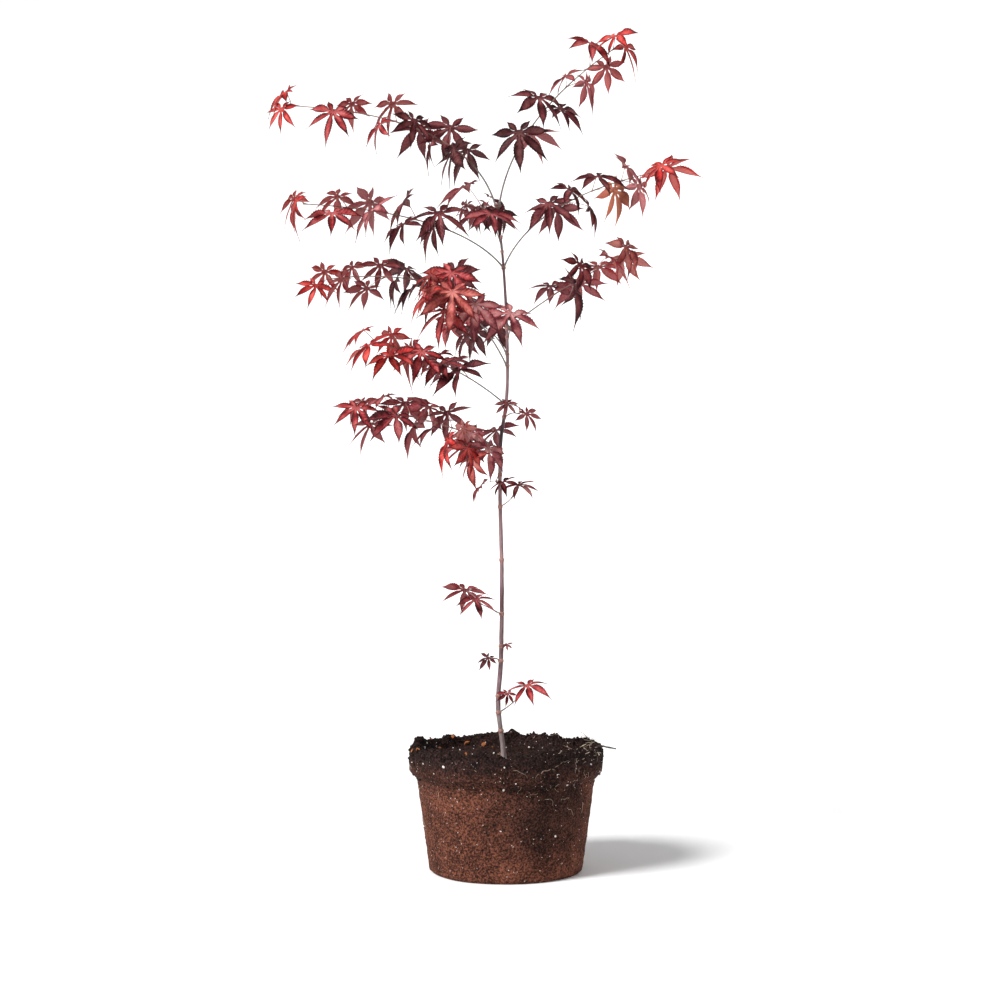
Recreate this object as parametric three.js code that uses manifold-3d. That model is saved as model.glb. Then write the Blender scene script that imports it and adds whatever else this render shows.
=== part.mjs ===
// A young Japanese maple on its root ball, which keeps the shape of the nursery pot that it grew in.
// Millimetres, +Z up. The origin is the centre of the root ball's flat underside, and -Y is the front.
// One slender trunk rises from a hollow in the top of the root ball to a fork. Boughs leave it in tiers,
// and each carries one mass of leaves: a stem with pairs of palmate leaves, laid by a seeded rule.
import * as THREE from 'three';
import { mergeVertices } from 'three/addons/utils/BufferGeometryUtils.js';
import Module from 'manifold-3d';

const wasm = await Module();
wasm.setup();

// Driving dimensions
const GAP = 0.3; // between two pieces that touch
const SAME_PLACE = 1e-4; // corners closer than this are one corner

const ROOT_BALL = {
  baseRadius: 83,
  shoulderRadius: 96.5, // where the side meets the band that the pot's rim left
  bandRadius: 105,
  bandFrom: 101,
  bandTo: 136,
  bevel: 9, // the slope under the band
  edge: 3, // how far corners are worn
  lipWidth: 8,
  dish: [{ inward: 16, up: 5 }, { inward: 40, up: 2 }], // the slope from the lip down to the soil
  floor: 120, // the height of the soil around the trunk
  seatRadius: 14, // the flat patch of soil that the trunk stands on
  sides: 44,
};

// How far the root ball's side strays from round, and its lip from level
const SIDE_WAVES = [{ times: 3, size: 0.8, shift: 1 }, { times: 7, size: 0.4, shift: 4 }];
const LIP_WAVES = [{ times: 5, size: 1.2, shift: 0 }, { times: 11, size: 0.8, shift: 2 }];

const TRUNK = {
  path: [
    [-1, 0, 110], [-3, 0, 136], [-8, -2, 179], [-5, 2, 229], [-4, 3, 321], [-6, -2, 414],
    [-5, -3, 469], [1, 1, 512], [2, 3, 572], [-2, 0, 654], [-9, 0, 724],
  ],
  flareRadius: 3.6,
  footRadius: 2.6,
  tipRadius: 1.2,
  taper: 1.6, // above 1, most of the taper is near the fork
  flareHeight: 9,
  forkSwell: 0.8,
  forkShare: 0.012,
  sides: 8,
  steps: 36,
};

const TWIG = {
  sprigRadius: 0.7,
  tipRadius: 0.5,
  stalkRadius: 0.48,
  boughSides: 5,
  boughSteps: 6,
  stemSides: 3,
  stemSteps: 9,
  sprigSteps: 3,
};

// The rule for a pair of leaves, in degrees and in shares of the leaf's length
const PAIR = {
  flatRoll: 12, // every other pair spreads sideways
  steepRoll: 58, // and the pairs between them stand nearly upright
  rollSpread: 26,
  forward: 0.75,
  lift: 0.3,
  stalk: 0.56,
  stalkSpread: 0.18,
  sizeSpread: 0.16,
  turnSpread: 46,
  droop: 50,
  droopSpread: 28,
  tiltSpread: 36,
};

// A leaf has seven lobes. Lengths are shares of the middle lobe's length.
const LEAF = {
  lobes: [
    { turn: -134, reach: 0.45 }, { turn: -91, reach: 0.78 }, { turn: -46, reach: 0.94 },
    { turn: 0, reach: 1 },
    { turn: 46, reach: 0.94 }, { turn: 91, reach: 0.78 }, { turn: 134, reach: 0.45 },
  ],
  shoulder: { along: 0.46, half: 0.125 },
  shoulderFrom: 0.5, // shorter lobes are plain spikes
  neck: { along: 0.78, half: 0.045 },
  neckFrom: 0.95, // and only the longest is drawn in towards its tip
  sinus: 0.14,
  notch: { reach: 0.045, turn: 40 }, // where the stalk's sides leave the blade
  fold: 0.38, // how steeply the two halves of a lobe rise from its midrib
  curl: 0.14, // how far the tips hang
  thick: 0.03,
};

// Each bough and the mass of leaves at its end share one curve: from its root, past its knee, to its tip.
// bare is the share of the curve with no leaves, and pairs are the shares where leaf pairs sit.
// leaf is the middle lobe's length at the first pair and at the last, and radius the limb's at its root.
const BOUGHS = [
  {
    name: 'top_left', root: [-11, 0, 724], knee: [-39, 20, 827], tip: [-241, 75, 848],
    bare: 0.25, pairs: [0.29, 0.4, 0.52, 0.65, 0.8, 1], leaf: [46, 34], radius: 1, seed: 237,
  },
  {
    name: 'top_right', root: [-7, 0, 724], knee: [7, -5, 817], tip: [115, -45, 884],
    bare: 0.3, pairs: [0.36, 0.56, 0.74, 0.88, 1], leaf: [42, 34], radius: 1, seed: 74,
  },
  {
    name: 'upper_left', root: [-2, 0, 656], knee: [-49, -15, 714], tip: [-212, -65, 716],
    bare: 0.36, pairs: [0.43, 0.58, 0.72, 0.86, 1], leaf: [48, 36], radius: 0.95, seed: 215,
  },
  {
    name: 'upper_right', root: [-2, 0, 656], knee: [27, -10, 729], tip: [159, -45, 753],
    bare: 0.36, pairs: [0.43, 0.58, 0.72, 0.86, 1], leaf: [40, 40], radius: 0.95, seed: 347,
  },
  {
    name: 'middle_right', root: [3, 0, 590], knee: [54, 15, 634], tip: [125, 40, 671],
    bare: 0.34, pairs: [0.4, 0.6, 0.8, 1], leaf: [42, 36], radius: 0.85, seed: 326,
  },
  {
    name: 'middle_left', root: [2, 0, 594], knee: [-67, 20, 662], tip: [-197, 60, 651],
    bare: 0.28, pairs: [0.33, 0.46, 0.6, 0.74, 0.87, 1], leaf: [44, 34], radius: 0.9, seed: 647,
  },
  {
    name: 'front', root: [1, 0, 550], knee: [-27, -60, 605], tip: [-72, -120, 619],
    bare: 0.5, pairs: [0.6, 0.74, 0.87, 1], leaf: [44, 38], radius: 0.9, seed: 93,
  },
  {
    name: 'front_upper', root: [-3, 0, 674], knee: [-12, -40, 705], tip: [-24, -85, 708],
    bare: 0.5, pairs: [0.64, 1], leaf: [34, 40], radius: 0.8, seed: 621,
  },
  {
    name: 'lower_left', root: [-1, 0, 508], knee: [-54, -25, 554], tip: [-136, -75, 568],
    bare: 0.27, pairs: [0.34, 0.52, 0.68, 0.84, 1], leaf: [42, 38], radius: 0.85, seed: 128,
  },
  {
    name: 'lowest_left', root: [-6, 0, 459], knee: [-61, 15, 491], tip: [-152, 35, 504],
    bare: 0.34, pairs: [0.42, 0.57, 0.72, 0.86, 1], leaf: [38, 36], radius: 0.85, seed: 404,
  },
  {
    name: 'low_front', root: [-7, 0, 450], knee: [-22, -35, 468], tip: [-46, -75, 460],
    bare: 0.4, pairs: [0.5, 0.75, 1], leaf: [38, 36], radius: 0.8, seed: 309,
  },
  {
    name: 'back_upper', root: [-5, 0, 690], knee: [-12, 60, 734], tip: [-31, 120, 740],
    bare: 0.38, pairs: [0.47, 0.74, 1], leaf: [35, 31], radius: 0.85, seed: 381,
  },
  {
    name: 'back_middle', root: [1, 0, 562], knee: [-12, 60, 598], tip: [-45, 125, 612],
    bare: 0.4, pairs: [0.5, 0.76, 1], leaf: [36, 32], radius: 0.85, seed: 406,
  },
  {
    name: 'back_low', root: [-7, 0, 443], knee: [-14, 50, 468], tip: [-40, 110, 472],
    bare: 0.4, pairs: [0.55, 1], leaf: [34, 31], radius: 0.8, seed: 437,
  },
];

// Sprigs grow straight from the trunk, with no bough. A single one has one leaf in place of a pair.
const SPRIGS = [
  {
    name: 'right', root: [3, 0, 581], knee: [5, -5, 590], tip: [9, -9, 595],
    single: true, leaf: [46, 46], seed: 182,
  },
  {
    name: 'knee', root: [1, 0, 506], knee: [3, -5, 508], tip: [5, -9, 506],
    pairs: [1], leaf: [17, 17], seed: 690,
  },
  {
    name: 'shoulder', root: [0, 1, 494], knee: [6, 6, 500], tip: [14, 10, 498],
    single: true, leaf: [30, 30], seed: 536,
  },
  {
    name: 'elbow', root: [-7, 0, 431], knee: [-9, -6, 428], tip: [-10, -10, 424],
    pairs: [1], leaf: [25, 25], seed: 296,
  },
  {
    name: 'side', root: [-6, 0, 396], knee: [2, 1, 400], tip: [7, 2, 406],
    single: true, leaf: [26, 26], seed: 11,
  },
  {
    name: 'low_left', root: [-5, 0, 279], knee: [-17, -4, 286], tip: [-26, -7, 290],
    pairs: [1], leaf: [34, 34], seed: 301,
  },
  {
    name: 'bud', root: [-6, 0, 244], knee: [-3, -1, 245], tip: [0, -2, 245],
    single: true, leaf: [10, 10], seed: 540,
  },
  {
    name: 'leaf_left', root: [-6, 0, 228], knee: [-9, -2, 231], tip: [-12, -4, 231],
    single: true, leaf: [21, 21], seed: 536,
  },
  {
    name: 'leaf_right', root: [-7, 0, 190], knee: [-4, -2, 193], tip: [-1, -3, 193],
    single: true, leaf: [18, 18], seed: 84,
  },
  {
    name: 'foot', root: [-7, 0, 172], knee: [4, 1, 178], tip: [13, 2, 187],
    single: true, leaf: [32, 32], seed: 622,
  },
];

const FINISH = {
  bark: new THREE.MeshStandardMaterial({ color: 0x8c6a66, roughness: 0.75, metalness: 0 }),
  shoot: new THREE.MeshStandardMaterial({ color: 0x6d5148, roughness: 0.7, metalness: 0 }),
  leaf: new THREE.MeshStandardMaterial({ color: 0x8e2c33, roughness: 0.55, metalness: 0 }),
  soil: new THREE.MeshStandardMaterial({ color: 0x4a2f28, roughness: 1, metalness: 0 }),
};

const UP = new THREE.Vector3(0, 0, 1);
const vector = (numbers) => new THREE.Vector3(...numbers);
const radians = THREE.MathUtils.degToRad;
const mix = THREE.MathUtils.lerp;

// A run of repeatable random numbers, by the Park and Miller rule. Seeds are set well apart.
function seeded(seed) {
  const modulus = 2147483647;
  const multiplier = 16807;
  const first = 104729;
  const apart = 7919;
  let state = (seed * apart + first) % modulus;
  return {
    // a number from -size to size
    spread(size) {
      state = (state * multiplier) % modulus;
      return size * ((2 * state) / modulus - 1);
    },
  };
}

// A closed geometry as a manifold solid: shared corners are merged, and faces with no area are dropped.
function solidOf(geometry) {
  const bare = geometry.clone();
  bare.deleteAttribute('normal');
  bare.deleteAttribute('uv');
  const merged = mergeVertices(bare, SAME_PLACE);
  const corners = merged.index.array;
  const faces = [];
  for (let i = 0; i < corners.length; i += 3) {
    const [a, b, c] = corners.slice(i, i + 3);
    if (a !== b && b !== c && c !== a) faces.push(a, b, c);
  }
  return new wasm.Manifold(new wasm.Mesh({
    numProp: 3,
    vertProperties: merged.attributes.position.array,
    triVerts: new Uint32Array(faces),
  }));
}

function geometryOf(solid) {
  const mesh = solid.getMesh();
  const geometry = new THREE.BufferGeometry();
  geometry.setAttribute('position', new THREE.BufferAttribute(new Float32Array(mesh.vertProperties), 3));
  geometry.setIndex(new THREE.BufferAttribute(new Uint32Array(mesh.triVerts), 1));
  geometry.computeVertexNormals();
  return geometry;
}

function joined(solids) {
  return wasm.Manifold.union(solids);
}

// The largest body of a solid: a cut can leave a loose scrap, which is dropped.
function largestBody(solid) {
  return solid.decompose().reduce((best, body) => (body.volume() > best.volume() ? body : best));
}

// A stretch of a curve, from one share of its length parameter to another
function stretch(curve, from, to) {
  return {
    point: (share) => curve.getPoint(mix(from, to, share)),
    heading: (share) => curve.getTangent(mix(from, to, share)),
  };
}

// A tapering limb: a cylinder whose rings are carried along a curve and set to a radius at each share of it
function limb(run, radiusAt, sides, steps) {
  const geometry = new THREE.CylinderGeometry(1, 1, 1, sides, steps);
  const chord = run.point(1).sub(run.point(0)).toArray().map(Math.abs);
  const across = new THREE.Vector3().setComponent(chord.indexOf(Math.min(...chord)), 1);
  const spot = geometry.attributes.position;
  for (let i = 0; i < spot.count; i += 1) {
    const share = Math.min(1, Math.max(0, spot.getY(i) + 0.5));
    const heading = run.heading(share);
    const first = new THREE.Vector3().crossVectors(heading, across).normalize();
    const second = new THREE.Vector3().crossVectors(heading, first);
    const radius = radiusAt(share);
    const placed = run.point(share)
      .addScaledVector(first, spot.getX(i) * radius)
      .addScaledVector(second, -spot.getZ(i) * radius);
    spot.setXYZ(i, placed.x, placed.y, placed.z);
  }
  return solidOf(geometry);
}

const waveAt = (waves, angle) => (
  waves.reduce((sum, { times, size, shift }) => sum + size * Math.sin(times * angle + shift), 0)
);

// The root ball: a turned profile whose side strays from round and whose lip is ragged, with a level
// underside and a level seat for the trunk.
function rootBall() {
  const { baseRadius, shoulderRadius, bandRadius, bandFrom, bandTo, edge, floor, seatRadius } = ROOT_BALL;
  const profile = [
    [0, 0], [baseRadius - edge, 0], [baseRadius, edge],
    [mix(baseRadius, shoulderRadius, 0.5), bandFrom / 2], [shoulderRadius, bandFrom],
    [bandRadius, bandFrom + ROOT_BALL.bevel], [bandRadius, bandTo - 2 * edge],
    [bandRadius - edge, bandTo], [bandRadius - ROOT_BALL.lipWidth, bandTo],
    ...ROOT_BALL.dish.map(({ inward, up }) => [bandRadius - inward, floor + up]),
    [seatRadius, floor], [0, floor],
  ].map(([r, z]) => new THREE.Vector2(r, z));
  const geometry = new THREE.LatheGeometry(profile, ROOT_BALL.sides).rotateX(Math.PI / 2);
  const spot = geometry.attributes.position;
  for (let i = 0; i < spot.count; i += 1) {
    const [x, y, z] = [spot.getX(i), spot.getY(i), spot.getZ(i)];
    const radius = Math.hypot(x, y);
    if (radius > seatRadius + edge) {
      const angle = Math.atan2(y, x);
      const grown = 1 + waveAt(SIDE_WAVES, angle) / radius;
      const raised = z > bandTo - 2 * edge - 1 ? waveAt(LIP_WAVES, angle) : 0;
      spot.setXYZ(i, x * grown, y * grown, z + raised);
    }
  }
  return solidOf(geometry);
}

const trunkCurve = new THREE.CatmullRomCurve3(TRUNK.path.map(vector));

// The trunk's radius: its taper, a flare at its foot and a slight swelling where it forks
function trunkRadius(share, spare) {
  const height = trunkCurve.getPointAt(share).z - ROOT_BALL.floor;
  const flare = (TRUNK.flareRadius - TRUNK.footRadius) * Math.exp(-Math.max(0, height) / TRUNK.flareHeight);
  const fork = TRUNK.forkSwell * Math.exp(-(((1 - share) / TRUNK.forkShare) ** 2));
  return mix(TRUNK.footRadius, TRUNK.tipRadius, share ** TRUNK.taper) + flare + fork + spare;
}

// The trunk, cut flat where it stands on the soil. spare is added all round it.
function trunk(spare) {
  const run = {
    point: (share) => trunkCurve.getPointAt(share),
    heading: (share) => trunkCurve.getTangentAt(share),
  };
  const whole = limb(run, (share) => trunkRadius(share, spare), TRUNK.sides, TRUNK.steps);
  return whole.trimByPlane([0, 0, 1], ROOT_BALL.floor + GAP);
}

const curveOf = ({ root, knee, tip }) => new THREE.QuadraticBezierCurve3(...[root, knee, tip].map(vector));

// Where each leaf of a mass sits: its stalk's foot and heading, its hub, and the blade's axis and normal
function layLeaves(spec) {
  const draw = seeded(spec.seed);
  const curve = curveOf(spec);
  const pairs = spec.pairs ?? [1];
  return pairs.flatMap((share, rank) => {
    const foot = curve.getPoint(share);
    const along = curve.getTangent(share);
    const across = new THREE.Vector3().crossVectors(along, UP).normalize();
    const over = new THREE.Vector3().crossVectors(across, along);
    const roll = radians((rank % 2 ? PAIR.steepRoll : PAIR.flatRoll) + draw.spread(PAIR.rollSpread));
    return (spec.single ? [1] : [1, -1]).map((side) => {
      const outward = across.clone().multiplyScalar(side * Math.cos(roll))
        .addScaledVector(over, side * Math.sin(roll));
      const passed = pairs.length > 1 ? rank / (pairs.length - 1) : 1;
      const size = mix(spec.leaf[0], spec.leaf[1], passed) * (1 + draw.spread(PAIR.sizeSpread));
      const reach = size * (PAIR.stalk + draw.spread(PAIR.stalkSpread));
      const leaning = outward.clone().addScaledVector(along, PAIR.forward);
      const heading = leaning.clone().addScaledVector(UP, PAIR.lift).normalize();
      const hub = foot.clone().addScaledVector(heading, reach);
      const flat = leaning.clone().setZ(0).normalize();
      flat.applyAxisAngle(UP, radians(draw.spread(PAIR.turnSpread)));
      const droop = radians(PAIR.droop + draw.spread(PAIR.droopSpread));
      const axis = flat.clone().multiplyScalar(Math.cos(droop)).addScaledVector(UP, -Math.sin(droop));
      const normal = flat.clone().multiplyScalar(Math.sin(droop)).addScaledVector(UP, Math.cos(droop));
      normal.applyAxisAngle(axis, radians(draw.spread(PAIR.tiltSpread)));
      return { foot, heading, hub, axis, normal, size };
    });
  });
}

// A palmate leaf with its stalk, as one closed surface. The blade is a thin lens with a fold along each
// lobe's midrib, and its tips hang down. The stalk is a four-sided tube that opens out of the blade
// between its two smallest lobes and ends inside the stem.
function leaf({ foot, heading, hub, axis, normal, size }) {
  const across = new THREE.Vector3().crossVectors(axis, normal);
  const half = (LEAF.thick * size) / 2;
  const spots = [];
  const faces = [];
  const mark = (place) => spots.push(...place.toArray()) / 3 - 1;
  // a corner at a polar place in the blade, at a height above it
  const corner = (reach, turn, rise) => mark(hub.clone()
    .addScaledVector(axis, size * reach * Math.cos(turn))
    .addScaledVector(across, size * reach * Math.sin(turn))
    .addScaledVector(normal, rise - size * LEAF.curl * reach ** 2));
  const top = corner(0, 0, half);
  const under = corner(0, 0, -half);
  const turns = LEAF.lobes.map((lobe) => radians(lobe.turn));
  // the places between lobes, and at both ends the two sides of the stalk
  const opening = Math.PI - radians(LEAF.notch.turn);
  const sinuses = turns.slice(1).map((turn, i) => {
    const between = (turns[i] + turn) / 2;
    return corner(LEAF.sinus, between, LEAF.fold * size * LEAF.sinus * Math.sin(turn - between));
  });
  sinuses.unshift(corner(LEAF.notch.reach, -opening, 0));
  sinuses.push(corner(LEAF.notch.reach, opening, 0));

  LEAF.lobes.forEach((lobe, i) => {
    // a corner on one side of the lobe, level with a share of its length
    const onEdge = ({ along, half: width }, side) => {
      const off = side * width * lobe.reach ** 0.5;
      const reach = along * lobe.reach;
      const turn = turns[i] + Math.atan2(off, reach);
      return corner(Math.hypot(reach, off), turn, LEAF.fold * size * Math.abs(off));
    };
    const tip = corner(lobe.reach, turns[i], 0);
    for (const side of [-1, 1]) {
      const edge = [sinuses[side < 0 ? i : i + 1], tip];
      if (lobe.reach > LEAF.neckFrom) edge.splice(1, 0, onEdge(LEAF.neck, side));
      if (lobe.reach > LEAF.shoulderFrom) edge.splice(1, 0, onEdge(LEAF.shoulder, side));
      for (const [middle, facing] of [[top, side], [under, -side]]) {
        edge.slice(1).forEach((next, k) => {
          faces.push(middle, ...(facing > 0 ? [edge[k], next] : [next, edge[k]]));
        });
      }
    }
  });

  const aside = across.clone().addScaledVector(heading, -across.dot(heading)).normalize();
  const above = new THREE.Vector3().crossVectors(aside, heading);
  const near = [top, sinuses.at(-1), under, sinuses[0]];
  const far = [[above, 1], [aside, 1], [above, -1], [aside, -1]]
    .map(([way, sign]) => mark(foot.clone().addScaledVector(way, sign * TWIG.stalkRadius)));
  near.forEach((start, k) => {
    const next = (k + 1) % near.length;
    faces.push(start, far[k], near[next], near[next], far[k], far[next]);
  });
  faces.push(far[0], far[2], far[1], far[0], far[3], far[2]);

  const geometry = new THREE.BufferGeometry();
  geometry.setAttribute('position', new THREE.Float32BufferAttribute(spots, 3));
  geometry.setIndex(faces);
  return solidOf(geometry);
}

const limbRadius = (spec, share) => mix(spec.radius ?? TWIG.sprigRadius, TWIG.tipRadius, share);

function bough(spec) {
  const run = stretch(curveOf(spec), 0, spec.bare);
  return limb(run, (share) => limbRadius(spec, share * spec.bare), TWIG.boughSides, TWIG.boughSteps);
}

// A mass of leaves: its stem, and on it each leaf that touches nothing built before it
function mass(spec, built) {
  const curve = curveOf(spec);
  const from = spec.bare ? spec.bare + GAP / curve.getLength() : 0;
  const radiusAt = (share) => limbRadius(spec, mix(from, 1, share));
  const steps = spec.bare ? TWIG.stemSteps : TWIG.sprigSteps;
  const stem = limb(stretch(curve, from, 1), radiusAt, TWIG.stemSides, steps);
  const isClear = (piece) => built.every((other) => piece.intersect(other).isEmpty());
  return joined([stem, ...layLeaves(spec).map(leaf).filter(isClear)]);
}

const maple = new THREE.Group();
function add(name, solid, finish) {
  const mesh = new THREE.Mesh(geometryOf(solid), finish);
  mesh.name = name;
  maple.add(mesh);
}

add('root_ball', rootBall(), FINISH.soil);
add('trunk', trunk(0), FINISH.bark);
const trunkRoom = trunk(GAP);
const built = [trunkRoom];
for (const spec of BOUGHS) {
  const solid = largestBody(bough(spec).subtract(trunkRoom));
  add(`bough_${spec.name}`, solid, FINISH.shoot);
  built.push(solid);
}
for (const spec of [...BOUGHS, ...SPRIGS]) {
  const solid = largestBody(mass(spec, built).subtract(trunkRoom));
  add(spec.bare ? `leaves_${spec.name}` : `sprig_${spec.name}`, solid, FINISH.leaf);
  built.push(solid);
}

export default maple;
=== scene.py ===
"""The looks of a young Japanese maple on its root ball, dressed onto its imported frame.

Every piece is a surface worked out with numpy. Lengths are millimetres until a mesh is made, where they
become metres. +Z is up, -Y is the front, and the origin is the centre of the root ball's flat underside.
"""

import logging
import math
from dataclasses import dataclass
from enum import Enum
from itertools import combinations
from typing import NamedTuple, Protocol

import bpy
import numpy as np
from bpy.types import ID, Material, Node, NodeSocket, Object
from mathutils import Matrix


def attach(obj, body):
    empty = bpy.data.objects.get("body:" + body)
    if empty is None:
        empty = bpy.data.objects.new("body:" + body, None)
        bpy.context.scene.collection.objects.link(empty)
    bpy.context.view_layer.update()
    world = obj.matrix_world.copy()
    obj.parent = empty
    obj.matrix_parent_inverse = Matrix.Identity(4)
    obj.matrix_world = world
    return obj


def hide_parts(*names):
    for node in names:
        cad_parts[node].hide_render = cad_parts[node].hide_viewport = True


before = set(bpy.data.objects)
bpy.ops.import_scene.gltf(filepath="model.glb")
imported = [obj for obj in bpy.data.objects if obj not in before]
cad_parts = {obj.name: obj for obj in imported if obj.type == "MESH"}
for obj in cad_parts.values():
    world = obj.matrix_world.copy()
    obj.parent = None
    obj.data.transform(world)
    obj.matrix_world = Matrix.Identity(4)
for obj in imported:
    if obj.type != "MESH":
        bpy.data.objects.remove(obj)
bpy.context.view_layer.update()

Array = np.ndarray
Rng = np.random.Generator
Pair = tuple[float, float]
Point = tuple[float, float, float]
Stop = tuple[float, str]  # a place on a ramp and its colour
Where = tuple[int, float, float, float]  # how many, above and below what heights, outside what radius
Setting = float | str | tuple | list | Node | NodeSocket

METRE = 1000.0  # millimetres in a metre
BODY = "root"
UP = np.array([0.0, 0.0, 1.0])
TURN = 2 * math.pi
CREASE = math.radians(32)  # a sharper fold than this shows as an edge

log = logging.getLogger("maple")


# Vectors, noise and curves

def unit(vectors: Array) -> Array:
    """The vectors at length 1."""
    return vectors / np.linalg.norm(vectors, axis=-1, keepdims=True)


def mix(low: float | Array, high: float | Array, share: float | Array) -> float | Array:
    """low where share is 0, high where it is 1, and in between a straight blend of both."""
    return low + (high - low) * share


def eased(share: Array) -> Array:
    """A share held between 0 and 1, that starts and ends gently: 3 s^2 - 2 s^3."""
    held = np.clip(share, 0, 1)
    return held * held * (3 - 2 * held)


def rising(value: Array, low: float, high: float) -> Array:
    """An eased step: 0 up to low, and 1 from high on."""
    return eased((value - low) / (high - low))


def swelling(away: Array, width: float) -> Array:
    """A bell, 1 where away is 0: e^-(away / width)^2."""
    return np.exp(-((away / width) ** 2))


def circle(sides: int) -> Array:
    """The angles of corners set evenly round a circle, in radians."""
    return np.linspace(0, TURN, sides, endpoint=False)


def polar(radius: float | Array, angle: Array, height: float | Array = 0.0) -> Array:
    """Places about the Z axis: (radius cos angle, radius sin angle, height)."""
    return np.stack(np.broadcast_arrays(radius * np.cos(angle), radius * np.sin(angle), height), -1)


def turned(vectors: Array, axes: Array, angles: Array) -> Array:
    """Vectors turned about axes: v cos a + (axis x v) sin a + axis (axis . v)(1 - cos a).

    Args:
        vectors: the vectors, (..., 3).
        axes: a direction for each, of length 1.
        angles: an angle for each, in radians.

    Returns:
        The turned vectors.
    """
    cosine, sine = np.cos(angles)[..., None], np.sin(angles)[..., None]
    along = np.sum(axes * vectors, axis=-1, keepdims=True)
    return vectors * cosine + np.cross(axes, vectors) * sine + axes * along * (1 - cosine)


class Draw:
    """A run of repeatable random numbers, by the Park and Miller rule. Seeds are set well apart."""

    MODULUS = 2147483647
    MULTIPLIER = 16807
    FIRST = 104729
    APART = 7919

    def __init__(self, seed: int) -> None:
        """Starts the run that belongs to a seed."""
        self.state = (seed * self.APART + self.FIRST) % self.MODULUS

    def spread(self, size: float) -> float:
        """The next number, from -size to size."""
        self.state = self.state * self.MULTIPLIER % self.MODULUS
        return size * (2 * self.state / self.MODULUS - 1)


class Grain:
    """Smooth noise in space: random numbers at the corners of a lattice, and an eased blend between them."""

    CORNERS = 48  # along each side, before the lattice repeats

    def __init__(self, cell: float, seed: int) -> None:
        """Fills a lattice whose cells are cell millimetres wide."""
        self.cell = cell
        self.values = np.random.default_rng(seed).uniform(-1, 1, (self.CORNERS,) * 3)

    def at(self, spots: Array) -> Array:
        """The noise at spots.

        Args:
            spots: where, (..., 3).

        Returns:
            A number for each, from -1 to 1.
        """
        place = spots / self.cell
        low = np.floor(place).astype(int)
        share = eased(place - low)
        total = np.zeros(spots.shape[:-1])
        for corner in np.ndindex(2, 2, 2):
            index = tuple(np.moveaxis((low + corner) % self.CORNERS, -1, 0))
            total += np.prod(np.where(corner, share, 1 - share), axis=-1) * self.values[index]
        return total


@dataclass(frozen=True)
class Roughness:
    """Noise of several grains, each half as wide and half as strong as the one before."""

    height: float
    cell: float  # the width of the coarsest grain
    layers: int
    seed: int
    over: float = -math.inf  # where it is set, the noise counts only where it is more than this

    def at(self, spots: Array) -> Array:
        """The noise at spots, (..., 3): from about -1.5 to 1.5 times the height where all of it counts."""
        noise = sum(Grain(self.cell / 2**n, self.seed + n).at(spots) / 2**n for n in range(self.layers))
        return self.height * (noise if math.isinf(self.over) else np.maximum(noise - self.over, 0))


def bezier(root: Array, knee: Array, tip: Array, shares: Array) -> Array:
    """Points on curves of three points: (1 - s)^2 root + 2 s (1 - s) knee + s^2 tip."""
    s = shares[..., None]
    return (1 - s) ** 2 * root + 2 * s * (1 - s) * knee + s**2 * tip


def distances(path: Array) -> Array:
    """How far along a path each of its points is."""
    return np.concatenate([[0], np.cumsum(np.linalg.norm(np.diff(path, axis=0), axis=1))])


def read_off(at: Array, keys: Array, rows: Array) -> Array:
    """The values that rows have at rising keys, read off at other places by straight blends."""
    return np.stack([np.interp(at, keys, column) for column in rows.T], -1)


def smooth_path(points: Array, count: int) -> Array:
    """A centripetal Catmull-Rom curve through points, at even steps of its length.

    Each stretch is the cubic whose slopes at its two ends come from the four points around it, each
    weighed by the root of its distance.

    Args:
        points: the points that the curve goes through, (n, 3).
        count: how many points are given back.

    Returns:
        (count, 3).
    """
    around = np.concatenate([[2 * points[0] - points[1]], points, [2 * points[-1] - points[-2]]])
    gaps = np.sqrt(np.linalg.norm(np.diff(around, axis=0), axis=1))[:, None]
    before, here, after = gaps[:-2], gaps[1:-1], gaps[2:]
    p0, p1, p2, p3 = around[:-3], around[1:-2], around[2:-1], around[3:]
    leaving = ((p1 - p0) / before - (p2 - p0) / (before + here) + (p2 - p1) / here) * here
    arriving = ((p2 - p1) / here - (p3 - p1) / (here + after) + (p3 - p2) / after) * here
    s = np.linspace(0, 1, count)[None, :, None]
    curve = (
        p1[:, None] * (1 - 3 * s**2 + 2 * s**3)
        + p2[:, None] * (3 * s**2 - 2 * s**3)
        + leaving[:, None] * (s - 2 * s**2 + s**3)
        + arriving[:, None] * (s**3 - s**2)
    ).reshape(-1, 3)
    passed = distances(curve)
    return read_off(np.linspace(0, passed[-1], count), passed, curve)


# Surfaces and pieces

@dataclass
class Surface:
    """A surface before it is a mesh.

    coats holds the number of each face's finish, and weave a texture place for each corner of each face.
    """

    spots: Array
    faces: Array
    coats: Array | None = None
    weave: Array | None = None

    def cast(self, spots: Array) -> "Surface":
        """Copies of the surface as one.

        Args:
            spots: the places of every copy's corners, (copies, corners, 3).

        Returns:
            The copies.
        """
        count, corners = spots.shape[:2]
        faces = (self.faces + corners * np.arange(count)[:, None, None]).reshape(-1, 3)
        if self.coats is None:
            return Surface(spots.reshape(-1, 3), faces)
        weave = np.tile(self.weave, (count, 1, 1))
        return Surface(spots.reshape(-1, 3), faces, np.tile(self.coats, count), weave)


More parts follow.
